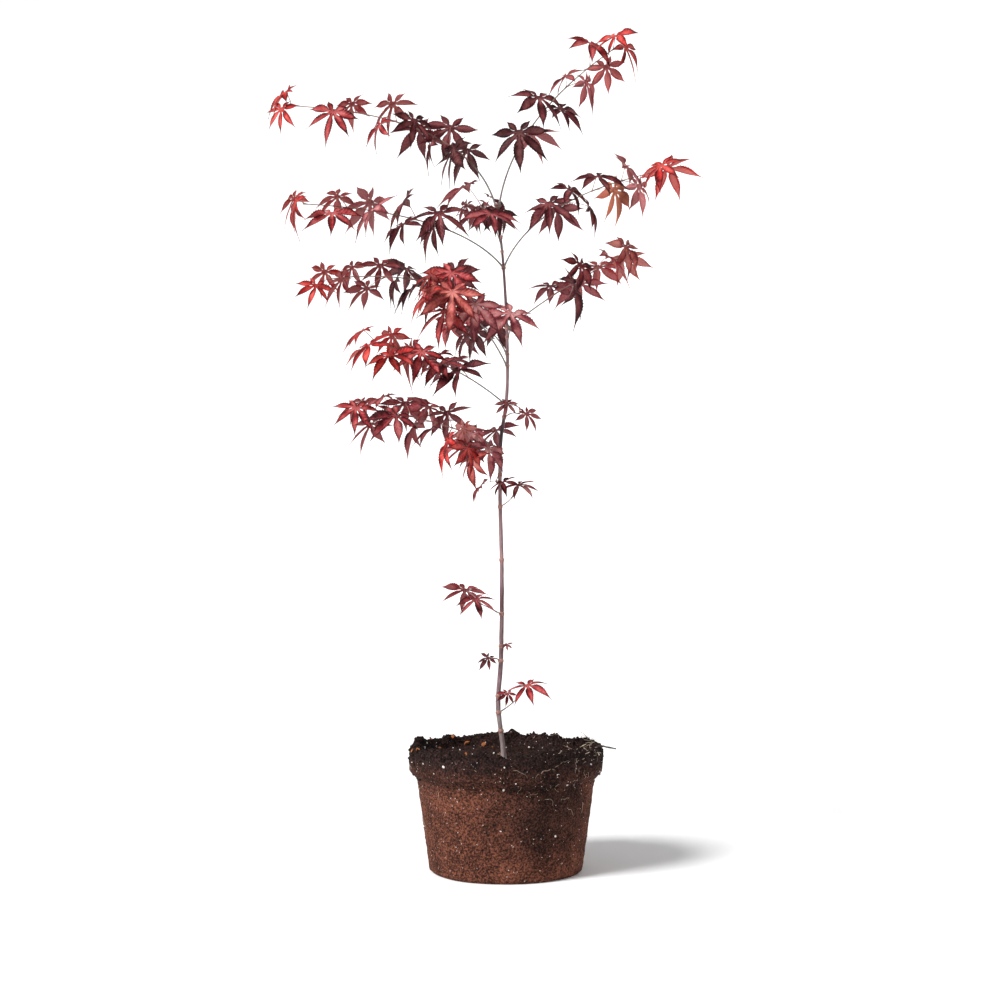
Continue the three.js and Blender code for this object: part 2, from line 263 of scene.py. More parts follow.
def grid_faces(rows: int, columns: int, closed: bool) -> Array:
    """Two faces for each cell of a grid of corners, which are numbered row by row.

    Args:
        rows: the number of rows of corners.
        columns: the number of corners in a row.
        closed: whether the last column is joined to the first.

    Returns:
        (cells * 2, 3).
    """
    row, column = np.meshgrid(np.arange(rows - 1), np.arange(columns - (not closed)), indexing="ij")
    a = row * columns + column
    b = row * columns + (column + 1) % columns
    halves = [np.stack([a, b, b + columns], -1), np.stack([a, b + columns, a + columns], -1)]
    return np.concatenate([half.reshape(-1, 3) for half in halves])


def shell_faces(rows: int, columns: int) -> Array:
    """The faces of a closed grid, then a fan at its first row and one at its last.

    Args:
        rows: the number of rows of corners.
        columns: the number of corners in a row.

    Returns:
        The faces. The fans meet in the two corners that follow the grid's.
    """
    side = np.arange(columns)
    beside = (side + 1) % columns
    last = (rows - 1) * columns
    middle = np.full(columns, rows * columns)
    fans = [np.stack([middle, beside, side], 1), np.stack([middle + 1, last + side, last + beside], 1)]
    return np.concatenate([grid_faces(rows, columns, True), *fans])


def tubes(paths: Array, radii: Array, sides: int) -> Surface:
    """Closed tubes carried along paths.

    Each point of a path carries a ring: point + radius (cos a first + sin a second), where first and
    second lie across the path's heading. A corner on the path closes each end.

    Args:
        paths: (tubes, points, 3).
        radii: (tubes, points), or (tubes, points, sides) for tubes that aren't round. What is the same
            all along has one value.
        sides: the corners of a ring.

    Returns:
        All the tubes as one surface.
    """
    count, points = paths.shape[:2]
    headings = unit(np.gradient(paths, axis=1))
    aside = np.eye(3)[np.abs(paths[:, -1] - paths[:, 0]).argmin(axis=1)]
    first = unit(np.cross(headings, aside[:, None]))
    second = np.cross(headings, first)
    angles = circle(sides)[:, None]
    ring = first[:, :, None] * np.cos(angles) + second[:, :, None] * np.sin(angles)
    reach = radii[..., None] if radii.ndim == 3 else radii[..., None, None]
    body = (paths[:, :, None] + ring * reach).reshape(count, -1, 3)
    spots = np.concatenate([body, paths[:, :1], paths[:, -1:]], axis=1)
    return Surface(spots[0], shell_faces(points, sides)).cast(spots)


def add_object(name: str, data: ID) -> Object:
    """Adds an object to the scene.

    Args:
        name: its name.
        data: the mesh, lamp or camera that it is.

    Returns:
        The object.
    """
    added = bpy.data.objects.new(name, data)
    bpy.context.scene.collection.objects.link(added)
    return added


def make_mesh(name: str, surface: Surface, finishes: list[Material]) -> Object:
    """Makes a surface an object with a mesh in metres, shaded smooth up to the crease angle.

    Args:
        name: the object's name.
        surface: its surface, in millimetres.
        finishes: its materials, in the order of the surface's coats.

    Returns:
        The object.
    """
    count = len(surface.faces)
    mesh = bpy.data.meshes.new(name)
    mesh.vertices.add(len(surface.spots))
    mesh.vertices.foreach_set("co", (surface.spots / METRE).astype(np.float32).ravel())
    mesh.loops.add(count * 3)
    mesh.loops.foreach_set("vertex_index", surface.faces.astype(np.int32).ravel())
    mesh.polygons.add(count)
    mesh.polygons.foreach_set("loop_start", np.arange(0, count * 3, 3, dtype=np.int32))
    mesh.polygons.foreach_set("use_smooth", np.ones(count, dtype=bool))
    for finish in finishes:
        mesh.materials.append(finish)
    if surface.coats is not None:
        mesh.polygons.foreach_set("material_index", surface.coats.astype(np.int32))
        uv = mesh.uv_layers.new(name="weave")
        uv.data.foreach_set("uv", surface.weave.astype(np.float32).ravel())
    mesh.update(calc_edges=True)
    mesh.validate()
    mesh.set_sharp_from_angle(angle=CREASE)
    return add_object(name, mesh)


def make_piece(
    name: str, surface: Surface, finish: "Finish", replaces: tuple[str, ...] = ()
) -> None:
    """Makes a surface a piece of the plant, dressed and set on its body.

    Args:
        name: the piece's name.
        surface: its surface, in millimetres.
        finish: its finish, with a material for each of the surface's coats.
        replaces: the frame's nodes that it stands for.
    """
    piece = make_mesh(name, surface, finish.materials())
    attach(piece, BODY)
    if replaces:
        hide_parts(*replaces)
    log.info("%s: %d faces", name, len(surface.faces))


# Finishes

def linear(colour: str) -> tuple[float, ...]:
    """An sRGB hex colour as linear light."""
    shares = (int(colour[k : k + 2], 16) / 255 for k in (0, 2, 4))
    return (*(s / 12.92 if s <= 0.04045 else ((s + 0.055) / 1.055) ** 2.4 for s in shares), 1.0)


def per_metre(size: float) -> float:
    """The texture scale that makes a pattern's cells size millimetres wide."""
    return METRE / size


class Paint:
    """A material in the making: its node tree, and the shader that its colour and its relief feed."""

    def __init__(self, name: str, **settings: Setting) -> None:
        """Starts a material.

        Args:
            name: what it is and how it was made.
            settings: values for its shader's sockets.
        """
        self.material = bpy.data.materials.new(name)
        self.material.use_nodes = True
        self.tree = self.material.node_tree
        self.tree.nodes.clear()
        self.shader = self.add("BsdfPrincipled", **settings)
        self.add("OutputMaterial", self.shader)

    def add(self, kind: str, *fed: Setting, stops: tuple[Stop, ...] = (), **named: Setting) -> Node:
        """Adds a node with its settings and links.

        Args:
            kind: the node's type, without ShaderNode before it.
            fed: what its inputs take, in their order.
            stops: a ramp's places and their colours.
            named: what its properties and other inputs take.

        Returns:
            The node.
        """
        node = self.tree.nodes.new(f"ShaderNode{kind}")
        while stops and len(node.color_ramp.elements) < len(stops):
            node.color_ramp.elements.new(1.0)
        for number, (place, colour) in enumerate(stops):
            node.color_ramp.elements[number].position = place
            node.color_ramp.elements[number].color = linear(colour)
        self.feed(node, *fed, **named)
        return node

    def feed(self, node: Node, *fed: Setting, **named: Setting) -> None:
        """Gives a node's inputs and properties their values or links.

        Args:
            node: the node.
            fed: for inputs in their order, a value or the output that feeds them. A node stands for its
                first live output.
            named: the same by a property's name, or an input's name or identifier, with _ for a space.
        """
        for key, value in (*enumerate(fed), *named.items()):
            if isinstance(value, Node):
                value = next(output for output in value.outputs if output.enabled)
            if isinstance(key, str) and hasattr(node, key):
                setattr(node, key, value)
                continue
            socket = next(socket for rank, socket in enumerate(node.inputs)
                          if key in (rank, socket.identifier, socket.name.replace(" ", "_")))
            if isinstance(value, NodeSocket):
                self.tree.links.new(value, socket)
            else:
                socket.default_value = value

    def finished(self, colour: Node, relief: Node) -> Material:
        """The material, once its shader has its colour and its relief."""
        self.feed(self.shader, Base_Color=colour, Normal=relief)
        return self.material


class Finish(Protocol):
    """Whatever has materials to dress a piece in."""

    def materials(self) -> list[Material]:
        """Makes the materials."""


@dataclass(frozen=True)
class MottledFinish:
    """A plain matt surface of two close colours, mottled at a grain of a few millimetres, with a fine relief.

    The mottle keeps a small piece from looking like plastic, and the relief breaks its highlight.
    """

    name: str
    light: str
    dark: str
    grain: float
    relief: float
    roughness: float
    shine: float = 0.5

    def materials(self) -> list[Material]:
        """Makes the one material.

        Returns:
            It alone in a list.
        """
        paint = Paint(self.name, Roughness=self.roughness, IOR=1.45, Specular_IOR_Level=self.shine)
        place = paint.add("TexCoord").outputs["Object"]
        noise = paint.add("TexNoise", place, Scale=per_metre(self.grain), Detail=4.0)
        ramp = paint.add("ValToRGB", noise, stops=((0.35, self.dark), (0.65, self.light)))
        bump = paint.add("Bump", Strength=0.5, Distance=self.relief / METRE, Height=noise)
        return [paint.finished(ramp, bump)]


@dataclass(frozen=True)
class PottingMix:
    """Peat and composted bark, pressed to a smooth side by the pot that it was cast in.

    It gives the eye a matt, crumbly brown, with pale grit sprinkled through it. It is darker where it is
    moist:
    over its upper part and its top, where the dark also stands for painted shade of the deep dish, and in a
    patch down one side.
    """

    dry: tuple[str, ...] = ("1c0e0c", "4d2e23", "7e4c3b")
    # The moist colours. Where they cover the top they are also painted shade of the dish.
    moist: tuple[str, ...] = ("0a0706", "1a1211", "3b2723")
    tones: Point = (0.39, 0.5, 0.61)  # where on the noise each of the three colours stands
    crumb: float = 2.0
    relief: float = 1.2
    blotch: float = 26.0
    blotch_weight: float = 0.22
    grit: str = "d8cfc8"
    grit_apart: float = 4.2
    grit_size: float = 0.11  # as a share of the distance apart
    grit_missing: float = 0.66  # the share of the places where there is none
    stray: float = 34.0  # how far the blotches push the edge of the moist mix
    moist_and_shaded_height: Pair = (84.0, 132.0)  # dry below the first, moist above the second, which on the top is also painted shade of the dish
    moist_spot: Point = (46.0, -80.0, 88.0)
    moist_reach: Pair = (100.0, 20.0)  # around the spot, dry past the first and moist within the second
    moist_most: float = 0.76

    def materials(self) -> list[Material]:
        """Makes the one material.

        Returns:
            It alone in a list.
        """
        paint = Paint("Potting mix, pot-cast", Roughness=0.95, IOR=1.4, Specular_IOR_Level=0.15)
        place = paint.add("TexCoord").outputs["Object"]
        crumb = paint.add("TexNoise", place, Scale=per_metre(self.crumb), Detail=7.0, Roughness=0.68)
        blotch = paint.add("TexNoise", place, Scale=per_metre(self.blotch), Detail=3.0)
        weight = self.blotch_weight
        uneven = paint.add("Math", blotch, weight, -weight / 2, operation="MULTIPLY_ADD")
        tone = paint.add("Math", crumb, uneven, operation="ADD")
        dry, moist = (paint.add("ValToRGB", tone, stops=tuple(zip(self.tones, colours)))
                      for colours in (self.dry, self.moist))
        # How far the moist colours reach: moisture, and on the top also painted shade of the dish.
        darkened = self.moisture_and_painted_shade(paint, place, blotch)
        soil = paint.add("Mix", darkened, A_Color=dry, B_Color=moist, data_type="RGBA")
        cells = paint.add("TexVoronoi", place, Scale=per_metre(self.grit_apart), Randomness=1.0)
        near = paint.add("Math", cells, self.grit_size, operation="LESS_THAN")
        some = paint.add("Math", cells.outputs["Color"], self.grit_missing, operation="GREATER_THAN")
        grit = paint.add("Math", near, some, operation="MULTIPLY")
        colour = paint.add("Mix", grit, A_Color=soil, B_Color=linear(self.grit), data_type="RGBA")
        bump = paint.add("Bump", Strength=0.8, Distance=self.relief / METRE, Height=crumb)
        return [paint.finished(colour, bump)]

    def moisture_and_painted_shade(self, paint: Paint, place: NodeSocket, blotch: Node) -> Node:
        """How moist the mix is, from 0 to 1: all of the top, where the moist colours also paint the dish's
        shade, and a patch that runs down one side.

        Args:
            paint: the material.
            place: the place on the object.
            blotch: a coarse noise that frays the edges.

        Returns:
            The node that gives it.
        """
        height = paint.add("SeparateXYZ", place).outputs["Z"]
        spot = tuple(value / METRE for value in self.moist_spot)
        away = paint.add("VectorMath", place, spot, operation="DISTANCE")
        shares = []
        for source, ends in ((height, self.moist_and_shaded_height), (away, self.moist_reach)):
            dry, darkened = ((end + self.stray / 2) / METRE for end in ends)
            frayed = paint.add("Math", blotch, self.stray / METRE, source, operation="MULTIPLY_ADD")
            shares.append(paint.add("MapRange", frayed, dry, darkened, interpolation_type="SMOOTHSTEP"))
        patch = paint.add("Math", shares[1], self.moist_most, operation="MULTIPLY")
        return paint.add("Math", shares[0], patch, operation="MAXIMUM")


class BarkTone(Enum):
    """The tones that the bark goes through on its way up the trunk, from the palest to the darkest."""

    GREY = "958684"
    PALE = "a08082"
    ROSY = "866a70"
    DUSKY = "6c4e54"
    WINE = "623f43"
    SLATE = "503f44"


@dataclass(frozen=True)
class YoungBark:
    """Thin smooth bark on two years' growth: grey at the foot, then rosy, and wine brown towards the top.

    Pale stretches lie between duskier ones. Fine streaks run up it, as on bark that has just
    begun to split, and it has a dull satin sheen.
    """

    bands: tuple[tuple[float, BarkTone], ...] = (
        (168, BarkTone.GREY), (190, BarkTone.ROSY), (215, BarkTone.ROSY), (236, BarkTone.DUSKY),
        (272, BarkTone.PALE), (286, BarkTone.WINE), (298, BarkTone.WINE), (312, BarkTone.ROSY),
        (338, BarkTone.PALE), (440, BarkTone.PALE), (463, BarkTone.SLATE), (480, BarkTone.SLATE),
        (500, BarkTone.PALE), (610, BarkTone.ROSY), (660, BarkTone.DUSKY), (720, BarkTone.WINE),
    )
    top: float = 800.0
    streak: float = 0.9
    streak_length: float = 12.0
    streak_shade: str = "6a5a58"
    streak_weight: float = 0.75
    relief: float = 0.25

    def materials(self) -> list[Material]:
        """Makes the one material.

        Returns:
            It alone in a list.
        """
        paint = Paint("Young maple bark, weathered", Roughness=0.66, IOR=1.45)
        place = paint.add("TexCoord").outputs["Object"]
        height = paint.add("SeparateXYZ", place).outputs["Z"]
        share = paint.add("MapRange", height, 0.0, self.top / METRE)
        bands = tuple((z / self.top, tone.value) for z, tone in self.bands)
        tone = paint.add("ValToRGB", share, stops=bands)
        drawn = paint.add("Mapping", place, Scale=(1.0, 1.0, self.streak / self.streak_length))
        streaks = paint.add("TexNoise", drawn, Scale=per_metre(self.streak), Detail=5.0)
        veil = paint.add("ValToRGB", streaks, stops=((0.3, self.streak_shade), (0.7, "ffffff")))
        colour = paint.add("Mix", self.streak_weight, A_Color=tone, B_Color=veil, data_type="RGBA",
                           blend_type="MULTIPLY")
        bump = paint.add("Bump", Strength=0.5, Distance=self.relief / METRE, Height=streaks)
        return [paint.finished(colour, bump)]


@dataclass(frozen=True)
class LeafFinish:
    """One autumn tint of a maple leaf: a waxy upper side and a paler, duller underside.

    Each lobe is pale at the hub, and darker along its margins and towards its tip. The pale pinkish middle of
    a lobe is partly its own colour and partly a painted waxy sheen, and the dark margins and tip are partly
    autumn colour and partly painted shade. The upper side also has a soft satin highlight from its shader,
    and side veins that show as fine slanting ridges.
    """

    name: str
    slot: str
    # light is a pinkish tone that is partly painted waxy sheen, and dark is partly painted shade.
    light: str
    main: str
    dark: str
    under: str
    tones: Point = (0.02, 0.4, 0.85)  # where on the shade each of three colours stands
    mottle: float = 14.0
    contrast: float = 2.4  # of the mottle
    margin: float = 0.85  # how much darker a lobe is at its margin than at its midrib, partly painted shade
    margin_power: float = 2.4  # the higher, the narrower the dark margin
    hub: float = 0.22  # how far the pale hub reaches along a lobe
    hub_lift: float = 0.6
    tail: float = 0.66  # where a lobe starts to darken towards its tip, partly painted shade
    tail_drop: float = 0.6
    roughness: Pair = (0.42, 0.62)  # of the upper side and of the underside
    shine: float = 0.2
    veins: float = 9.0  # pairs of side veins on a lobe
    slant: float = 1.6
    relief: float = 0.35

    def materials(self) -> list[Material]:
        """Makes the upper side's material and the underside's."""
        return [self.side("waxy upper side", (self.dark, self.main, self.light), self.roughness[0]),
                self.side("matt underside", (self.main, self.under, self.under), self.roughness[1])]

    def side(self, kind: str, colours: tuple[str, ...], roughness: float) -> Material:
        """One side of the leaf.

        Args:
            kind: what it is and how it feels.
            colours: its three colours, from the darkest, which its margins have.
            roughness: how matt it is.

        Returns:
            The material.
        """
        paint = Paint(f"{self.name} maple leaf, {kind}", Roughness=roughness, IOR=1.42,
                      Specular_IOR_Level=self.shine)
        places = paint.add("TexCoord").outputs
        along, aside, _ = paint.add("SeparateXYZ", places["UV"]).outputs
        noise = paint.add("TexNoise", places["Object"], Scale=per_metre(self.mottle), Detail=4.0)
        mottle = paint.add("Math", noise, self.contrast, (1 - self.contrast) / 2, operation="MULTIPLY_ADD")
        away = paint.add("Math", aside, operation="ABSOLUTE")
        edge = paint.add("Math", away, self.margin_power, operation="POWER")
        shade = paint.add("Math", edge, -self.margin, mottle, operation="MULTIPLY_ADD")
        for ends in ((0.0, self.hub, self.hub_lift, 0.0), (self.tail, 1.0, 0.0, -self.tail_drop)):
            shade = paint.add("Math", shade, paint.add("MapRange", along, *ends), operation="ADD")
        ramp = paint.add("ValToRGB", shade, stops=tuple(zip(self.tones, colours)))
        slanted = paint.add("Math", away, -self.slant / self.veins, along, operation="MULTIPLY_ADD")
        wave = paint.add("Math", slanted, TURN * self.veins, operation="MULTIPLY")
        ridges = paint.add("Math", wave, operation="COSINE")
        bump = paint.add("Bump", Strength=0.6, Distance=self.relief / METRE, Height=ridges)
        return paint.finished(ramp, bump)


class Tint(Enum):
    """The autumn tints, from the brightest to the darkest, then a faded one and a browned one."""

    # Each tint's light colour is partly painted waxy sheen, and its dark colour partly painted shade.
    SCARLET = LeafFinish("Scarlet", "leaf_scarlet", "cc5a52", "b02826", "52080c", "cc6a64")
    CORAL = LeafFinish("Coral", "leaf_scarlet", "d08278", "ac504a", "66201f", "c67e78")
    RED = LeafFinish("Red", "leaf_scarlet", "be6462", "9c2f32", "460c10", "b46260")
    CRIMSON = LeafFinish("Crimson", "leaf_crimson", "a25656", "7e2c31", "380c11", "9a5254")
    WINE = LeafFinish("Wine", "leaf_crimson", "864a4a", "62252a", "300f12", "7e4346")
    MAROON = LeafFinish("Maroon", "leaf_maroon", "6c4140", "4a1f22", "260d0f", "6c4042")
    ROSE = LeafFinish("Rose", "leaf_rose", "c28c8a", "a65a5c", "62262c", "b06e6e")
    BRONZE = LeafFinish("Bronze", "leaf_rose", "a0906e", "9c5446", "50301f", "a8644c")


# The plant's own measures

@dataclass(frozen=True)
class Twig:
    """The wood of this year's growth, in millimetres."""

    sprig_radius: float = 0.7
    tip_radius: float = 0.5
    node_swell: float = 0.3
    node_length: float = 1.3


@dataclass(frozen=True)
class PairRule:
    """The rule for a pair of leaves, in degrees and in shares of the leaf's length."""

    flat_roll: float = 12.0
    steep_roll: float = 58.0
    roll_spread: float = 26.0
    forward: float = 0.75
    lift: float = 0.3
    stalk: float = 0.56
    stalk_spread: float = 0.18
    size_spread: float = 0.16
    turn_spread: float = 46.0
    droop: float = 50.0
    droop_spread: float = 28.0
    tilt_spread: float = 36.0


TWIG = Twig()
PAIR = PairRule()


class Leaves(NamedTuple):
    """Places of leaves, a row each.

    foot is where the stalk leaves the twig, along the twig's direction there, heading the stalk's direction
    and hub its end. axis points along the blade's middle lobe, and normal out of its upper side.
    """

    foot: Array
    along: Array
    heading: Array
    hub: Array
    axis: Array
    normal: Array
    size: Array

    def chosen(self, which: Array) -> "Leaves":
        """Only the leaves that which marks."""
        return Leaves(*(column[which] for column in self))


@dataclass(frozen=True)
class Spray:
    """A bough with its leaves, or a sprig that grows straight from the trunk, on a curve of three points."""

    name: str
    root: Point
    knee: Point
    tip: Point
    leaf: Pair  # the length of the first leaves' middle lobes, and of the last leaves'
    seed: int
    tints: tuple[Tint, ...]  # of each pair
    pairs: tuple[float, ...] = (1.0,)  # where on the curve each pair sits
    bare: float = 0.0  # how far up the curve the bough reaches, which a sprig doesn't have
    radius: float = TWIG.sprig_radius  # at the root
    single: bool = False  # whether one leaf stands for each pair
    odd: tuple[tuple[int, Tint], ...] = ()  # leaves that have a tint of their own

    @property
    def node(self) -> str:
        """The name of the frame's node that holds its leaves."""
        return f"leaves_{self.name}" if self.bare else f"sprig_{self.name}"

    @property
    def course(self) -> Array:
        """Its root, its knee and its tip."""
        return np.array([self.root, self.knee, self.tip], float)

    @property
    def length(self) -> float:
        """How far its tip is from its root."""
        return float(np.linalg.norm(self.course[2] - self.course[0]))

    def points(self, shares: Array) -> Array:
        """Places on the curve."""
        return bezier(*self.course, np.asarray(shares, float))

    def heading(self, share: float) -> Array:
        """The curve's direction: (1 - s)(knee - root) + s (tip - knee), at length 1."""
        return unit(mix(*np.diff(self.course, axis=0), share))

    def radii(self, shares: Array) -> Array:
        """The limb's radius: an even taper, with a small swelling where each pair of leaves sits."""
        swells = swelling((shares - np.array(self.pairs)[:, None]) * self.length, TWIG.node_length)
        return mix(self.radius, TWIG.tip_radius, shares) + TWIG.node_swell * swells.sum(axis=0)

    def lay(self) -> Leaves:
        """Lays the leaves by the source's rule.

        Every other pair spreads sideways and the pairs between them stand nearly upright. A stalk leans
        forward and up from the twig. Its blade hangs from the stalk's end, turned, drooped and tilted by
        seeded amounts.

        Returns:
            The leaves, pair by pair.
        """
        draw = Draw(self.seed)
        laid = []
        for rank, share in enumerate(self.pairs):
            foot, along = self.points(share), self.heading(share)
            across = unit(np.cross(along, UP))
            over = np.cross(across, along)
            middle = PAIR.steep_roll if rank % 2 else PAIR.flat_roll
            roll = math.radians(middle + draw.spread(PAIR.roll_spread))
            passed = rank / (len(self.pairs) - 1) if len(self.pairs) > 1 else 1
            for side in (1,) if self.single else (1, -1):
                outward = side * (across * math.cos(roll) + over * math.sin(roll))
                size = mix(*self.leaf, passed) * (1 + draw.spread(PAIR.size_spread))
                reach = size * (PAIR.stalk + draw.spread(PAIR.stalk_spread))
                leaning = outward + along * PAIR.forward
                heading = unit(leaning + UP * PAIR.lift)
                flat = turned(unit(leaning * (1, 1, 0)), UP, np.radians(draw.spread(PAIR.turn_spread)))
                droop = math.radians(PAIR.droop + draw.spread(PAIR.droop_spread))
                axis = flat * math.cos(droop) - UP * math.sin(droop)
                normal = flat * math.sin(droop) + UP * math.cos(droop)
                normal = turned(normal, axis, np.radians(draw.spread(PAIR.tilt_spread)))
                laid.append((foot, along, heading, foot + heading * reach, axis, normal, size))
        return Leaves(*(np.array(column) for column in zip(*laid)))

    def leaf_tints(self) -> list[Tint]:
        """The tint of each leaf: its own, or its pair's."""
        each = 1 if self.single else 2
        return [dict(self.odd).get(rank, self.tints[rank // each]) for rank in range(each * len(self.tints))]


# A letter for each tint, in their order, and then every bough and sprig.
S, K, R, C, W, M, P, B = Tint

SPRAYS = (
    Spray("top_left", (-11, 0, 724), (-39, 20, 827), (-241, 75, 848), (46, 34), 237, (M, W, W, R, R, S),
          (0.29, 0.4, 0.52, 0.65, 0.8, 1), 0.25, 1),
    Spray("top_right", (-7, 0, 724), (7, -5, 817), (115, -45, 884), (42, 34), 74, (M, W, C, R, S),
          (0.36, 0.56, 0.74, 0.88, 1), 0.3, 1, odd=((1, P),)),
    Spray("upper_left", (-2, 0, 656), (-49, -15, 714), (-212, -65, 716), (48, 36), 215, (W, W, P, R, S),
          (0.43, 0.58, 0.72, 0.86, 1), 0.36, 0.95),
    Spray("upper_right", (-2, 0, 656), (27, -10, 729), (159, -45, 753), (40, 40), 347, (W, W, W, P, S),
          (0.43, 0.58, 0.72, 0.86, 1), 0.36, 0.95, odd=((5, B),)),
    Spray("middle_right", (3, 0, 590), (54, 15, 634), (125, 40, 671), (42, 36), 326, (W, C, R, K),
          (0.4, 0.6, 0.8, 1), 0.34, 0.85),
    Spray("middle_left", (2, 0, 594), (-67, 20, 662), (-197, 60, 651), (44, 34), 647, (W, M, M, C, R, S),
          (0.33, 0.46, 0.6, 0.74, 0.87, 1), 0.28, 0.9),
    Spray("front", (1, 0, 550), (-27, -60, 605), (-72, -120, 619), (44, 38), 93, (P, R, K, S),
          (0.6, 0.74, 0.87, 1), 0.5, 0.9),
    Spray("front_upper", (-3, 0, 674), (-12, -40, 705), (-24, -85, 708), (34, 40), 621, (W, C),
          (0.64, 1), 0.5, 0.8),
    Spray("lower_left", (-1, 0, 508), (-54, -25, 554), (-136, -75, 568), (42, 38), 128, (W, C, R, S, S),
          (0.34, 0.52, 0.68, 0.84, 1), 0.27, 0.85),
    Spray("lowest_left", (-6, 0, 459), (-61, 15, 491), (-152, 35, 504), (38, 36), 404, (W, C, C, C, R),
          (0.42, 0.57, 0.72, 0.86, 1), 0.34, 0.85),
    Spray("low_front", (-7, 0, 450), (-22, -35, 468), (-46, -75, 460), (38, 36), 309, (P, K, S),
          (0.5, 0.75, 1), 0.4, 0.8),
    Spray("back_upper", (-5, 0, 690), (-12, 60, 734), (-31, 120, 740), (35, 31), 381, (M, W, C),
          (0.47, 0.74, 1), 0.38, 0.85),
    Spray("back_middle", (1, 0, 562), (-12, 60, 598), (-45, 125, 612), (36, 32), 406, (M, W, R),
          (0.5, 0.76, 1), 0.4, 0.85),
    Spray("back_low", (-7, 0, 443), (-14, 50, 468), (-40, 110, 472), (34, 31), 437, (W, C),
          (0.55, 1), 0.4, 0.8),
    Spray("right", (3, 0, 581), (5, -5, 590), (9, -9, 595), (46, 46), 182, (P,), single=True),
    Spray("knee", (1, 0, 506), (3, -5, 508), (5, -9, 506), (17, 17), 690, (P,)),
    Spray("shoulder", (0, 1, 494), (6, 6, 500), (14, 10, 498), (30, 30), 536, (C,), single=True),
    Spray("elbow", (-7, 0, 431), (-9, -6, 428), (-10, -10, 424), (25, 25), 296, (C,)),
    Spray("side", (-6, 0, 396), (2, 1, 400), (7, 2, 406), (26, 26), 11, (P,), single=True),
    Spray("low_left", (-5, 0, 279), (-17, -4, 286), (-26, -7, 290), (34, 34), 301, (C,)),
    Spray("bud", (-6, 0, 244), (-3, -1, 245), (0, -2, 245), (10, 10), 540, (C,), single=True),
    Spray("leaf_left", (-6, 0, 228), (-9, -2, 231), (-12, -4, 231), (21, 21), 536, (W,), single=True),
    Spray("leaf_right", (-7, 0, 190), (-4, -2, 193), (-1, -3, 193), (18, 18), 84, (R,), single=True),
    Spray("foot", (-7, 0, 172), (4, 1, 178), (13, 2, 187), (32, 32), 622, (R,), single=True),
)


def carried(sprays: tuple[Spray, ...], shares: Array) -> tuple[Array, Array]:
    """Limbs carried along their curves.

    Args:
        sprays: the limbs.
        shares: the shares of its curve that each is carried through, a row for each.

    Returns:
        Their paths and their radii.
    """
    rows = list(zip(sprays, shares))
    paths = np.array([spray.points(row) for spray, row in rows])
    return paths, np.array([spray.radii(row) for spray, row in rows])


# The leaf

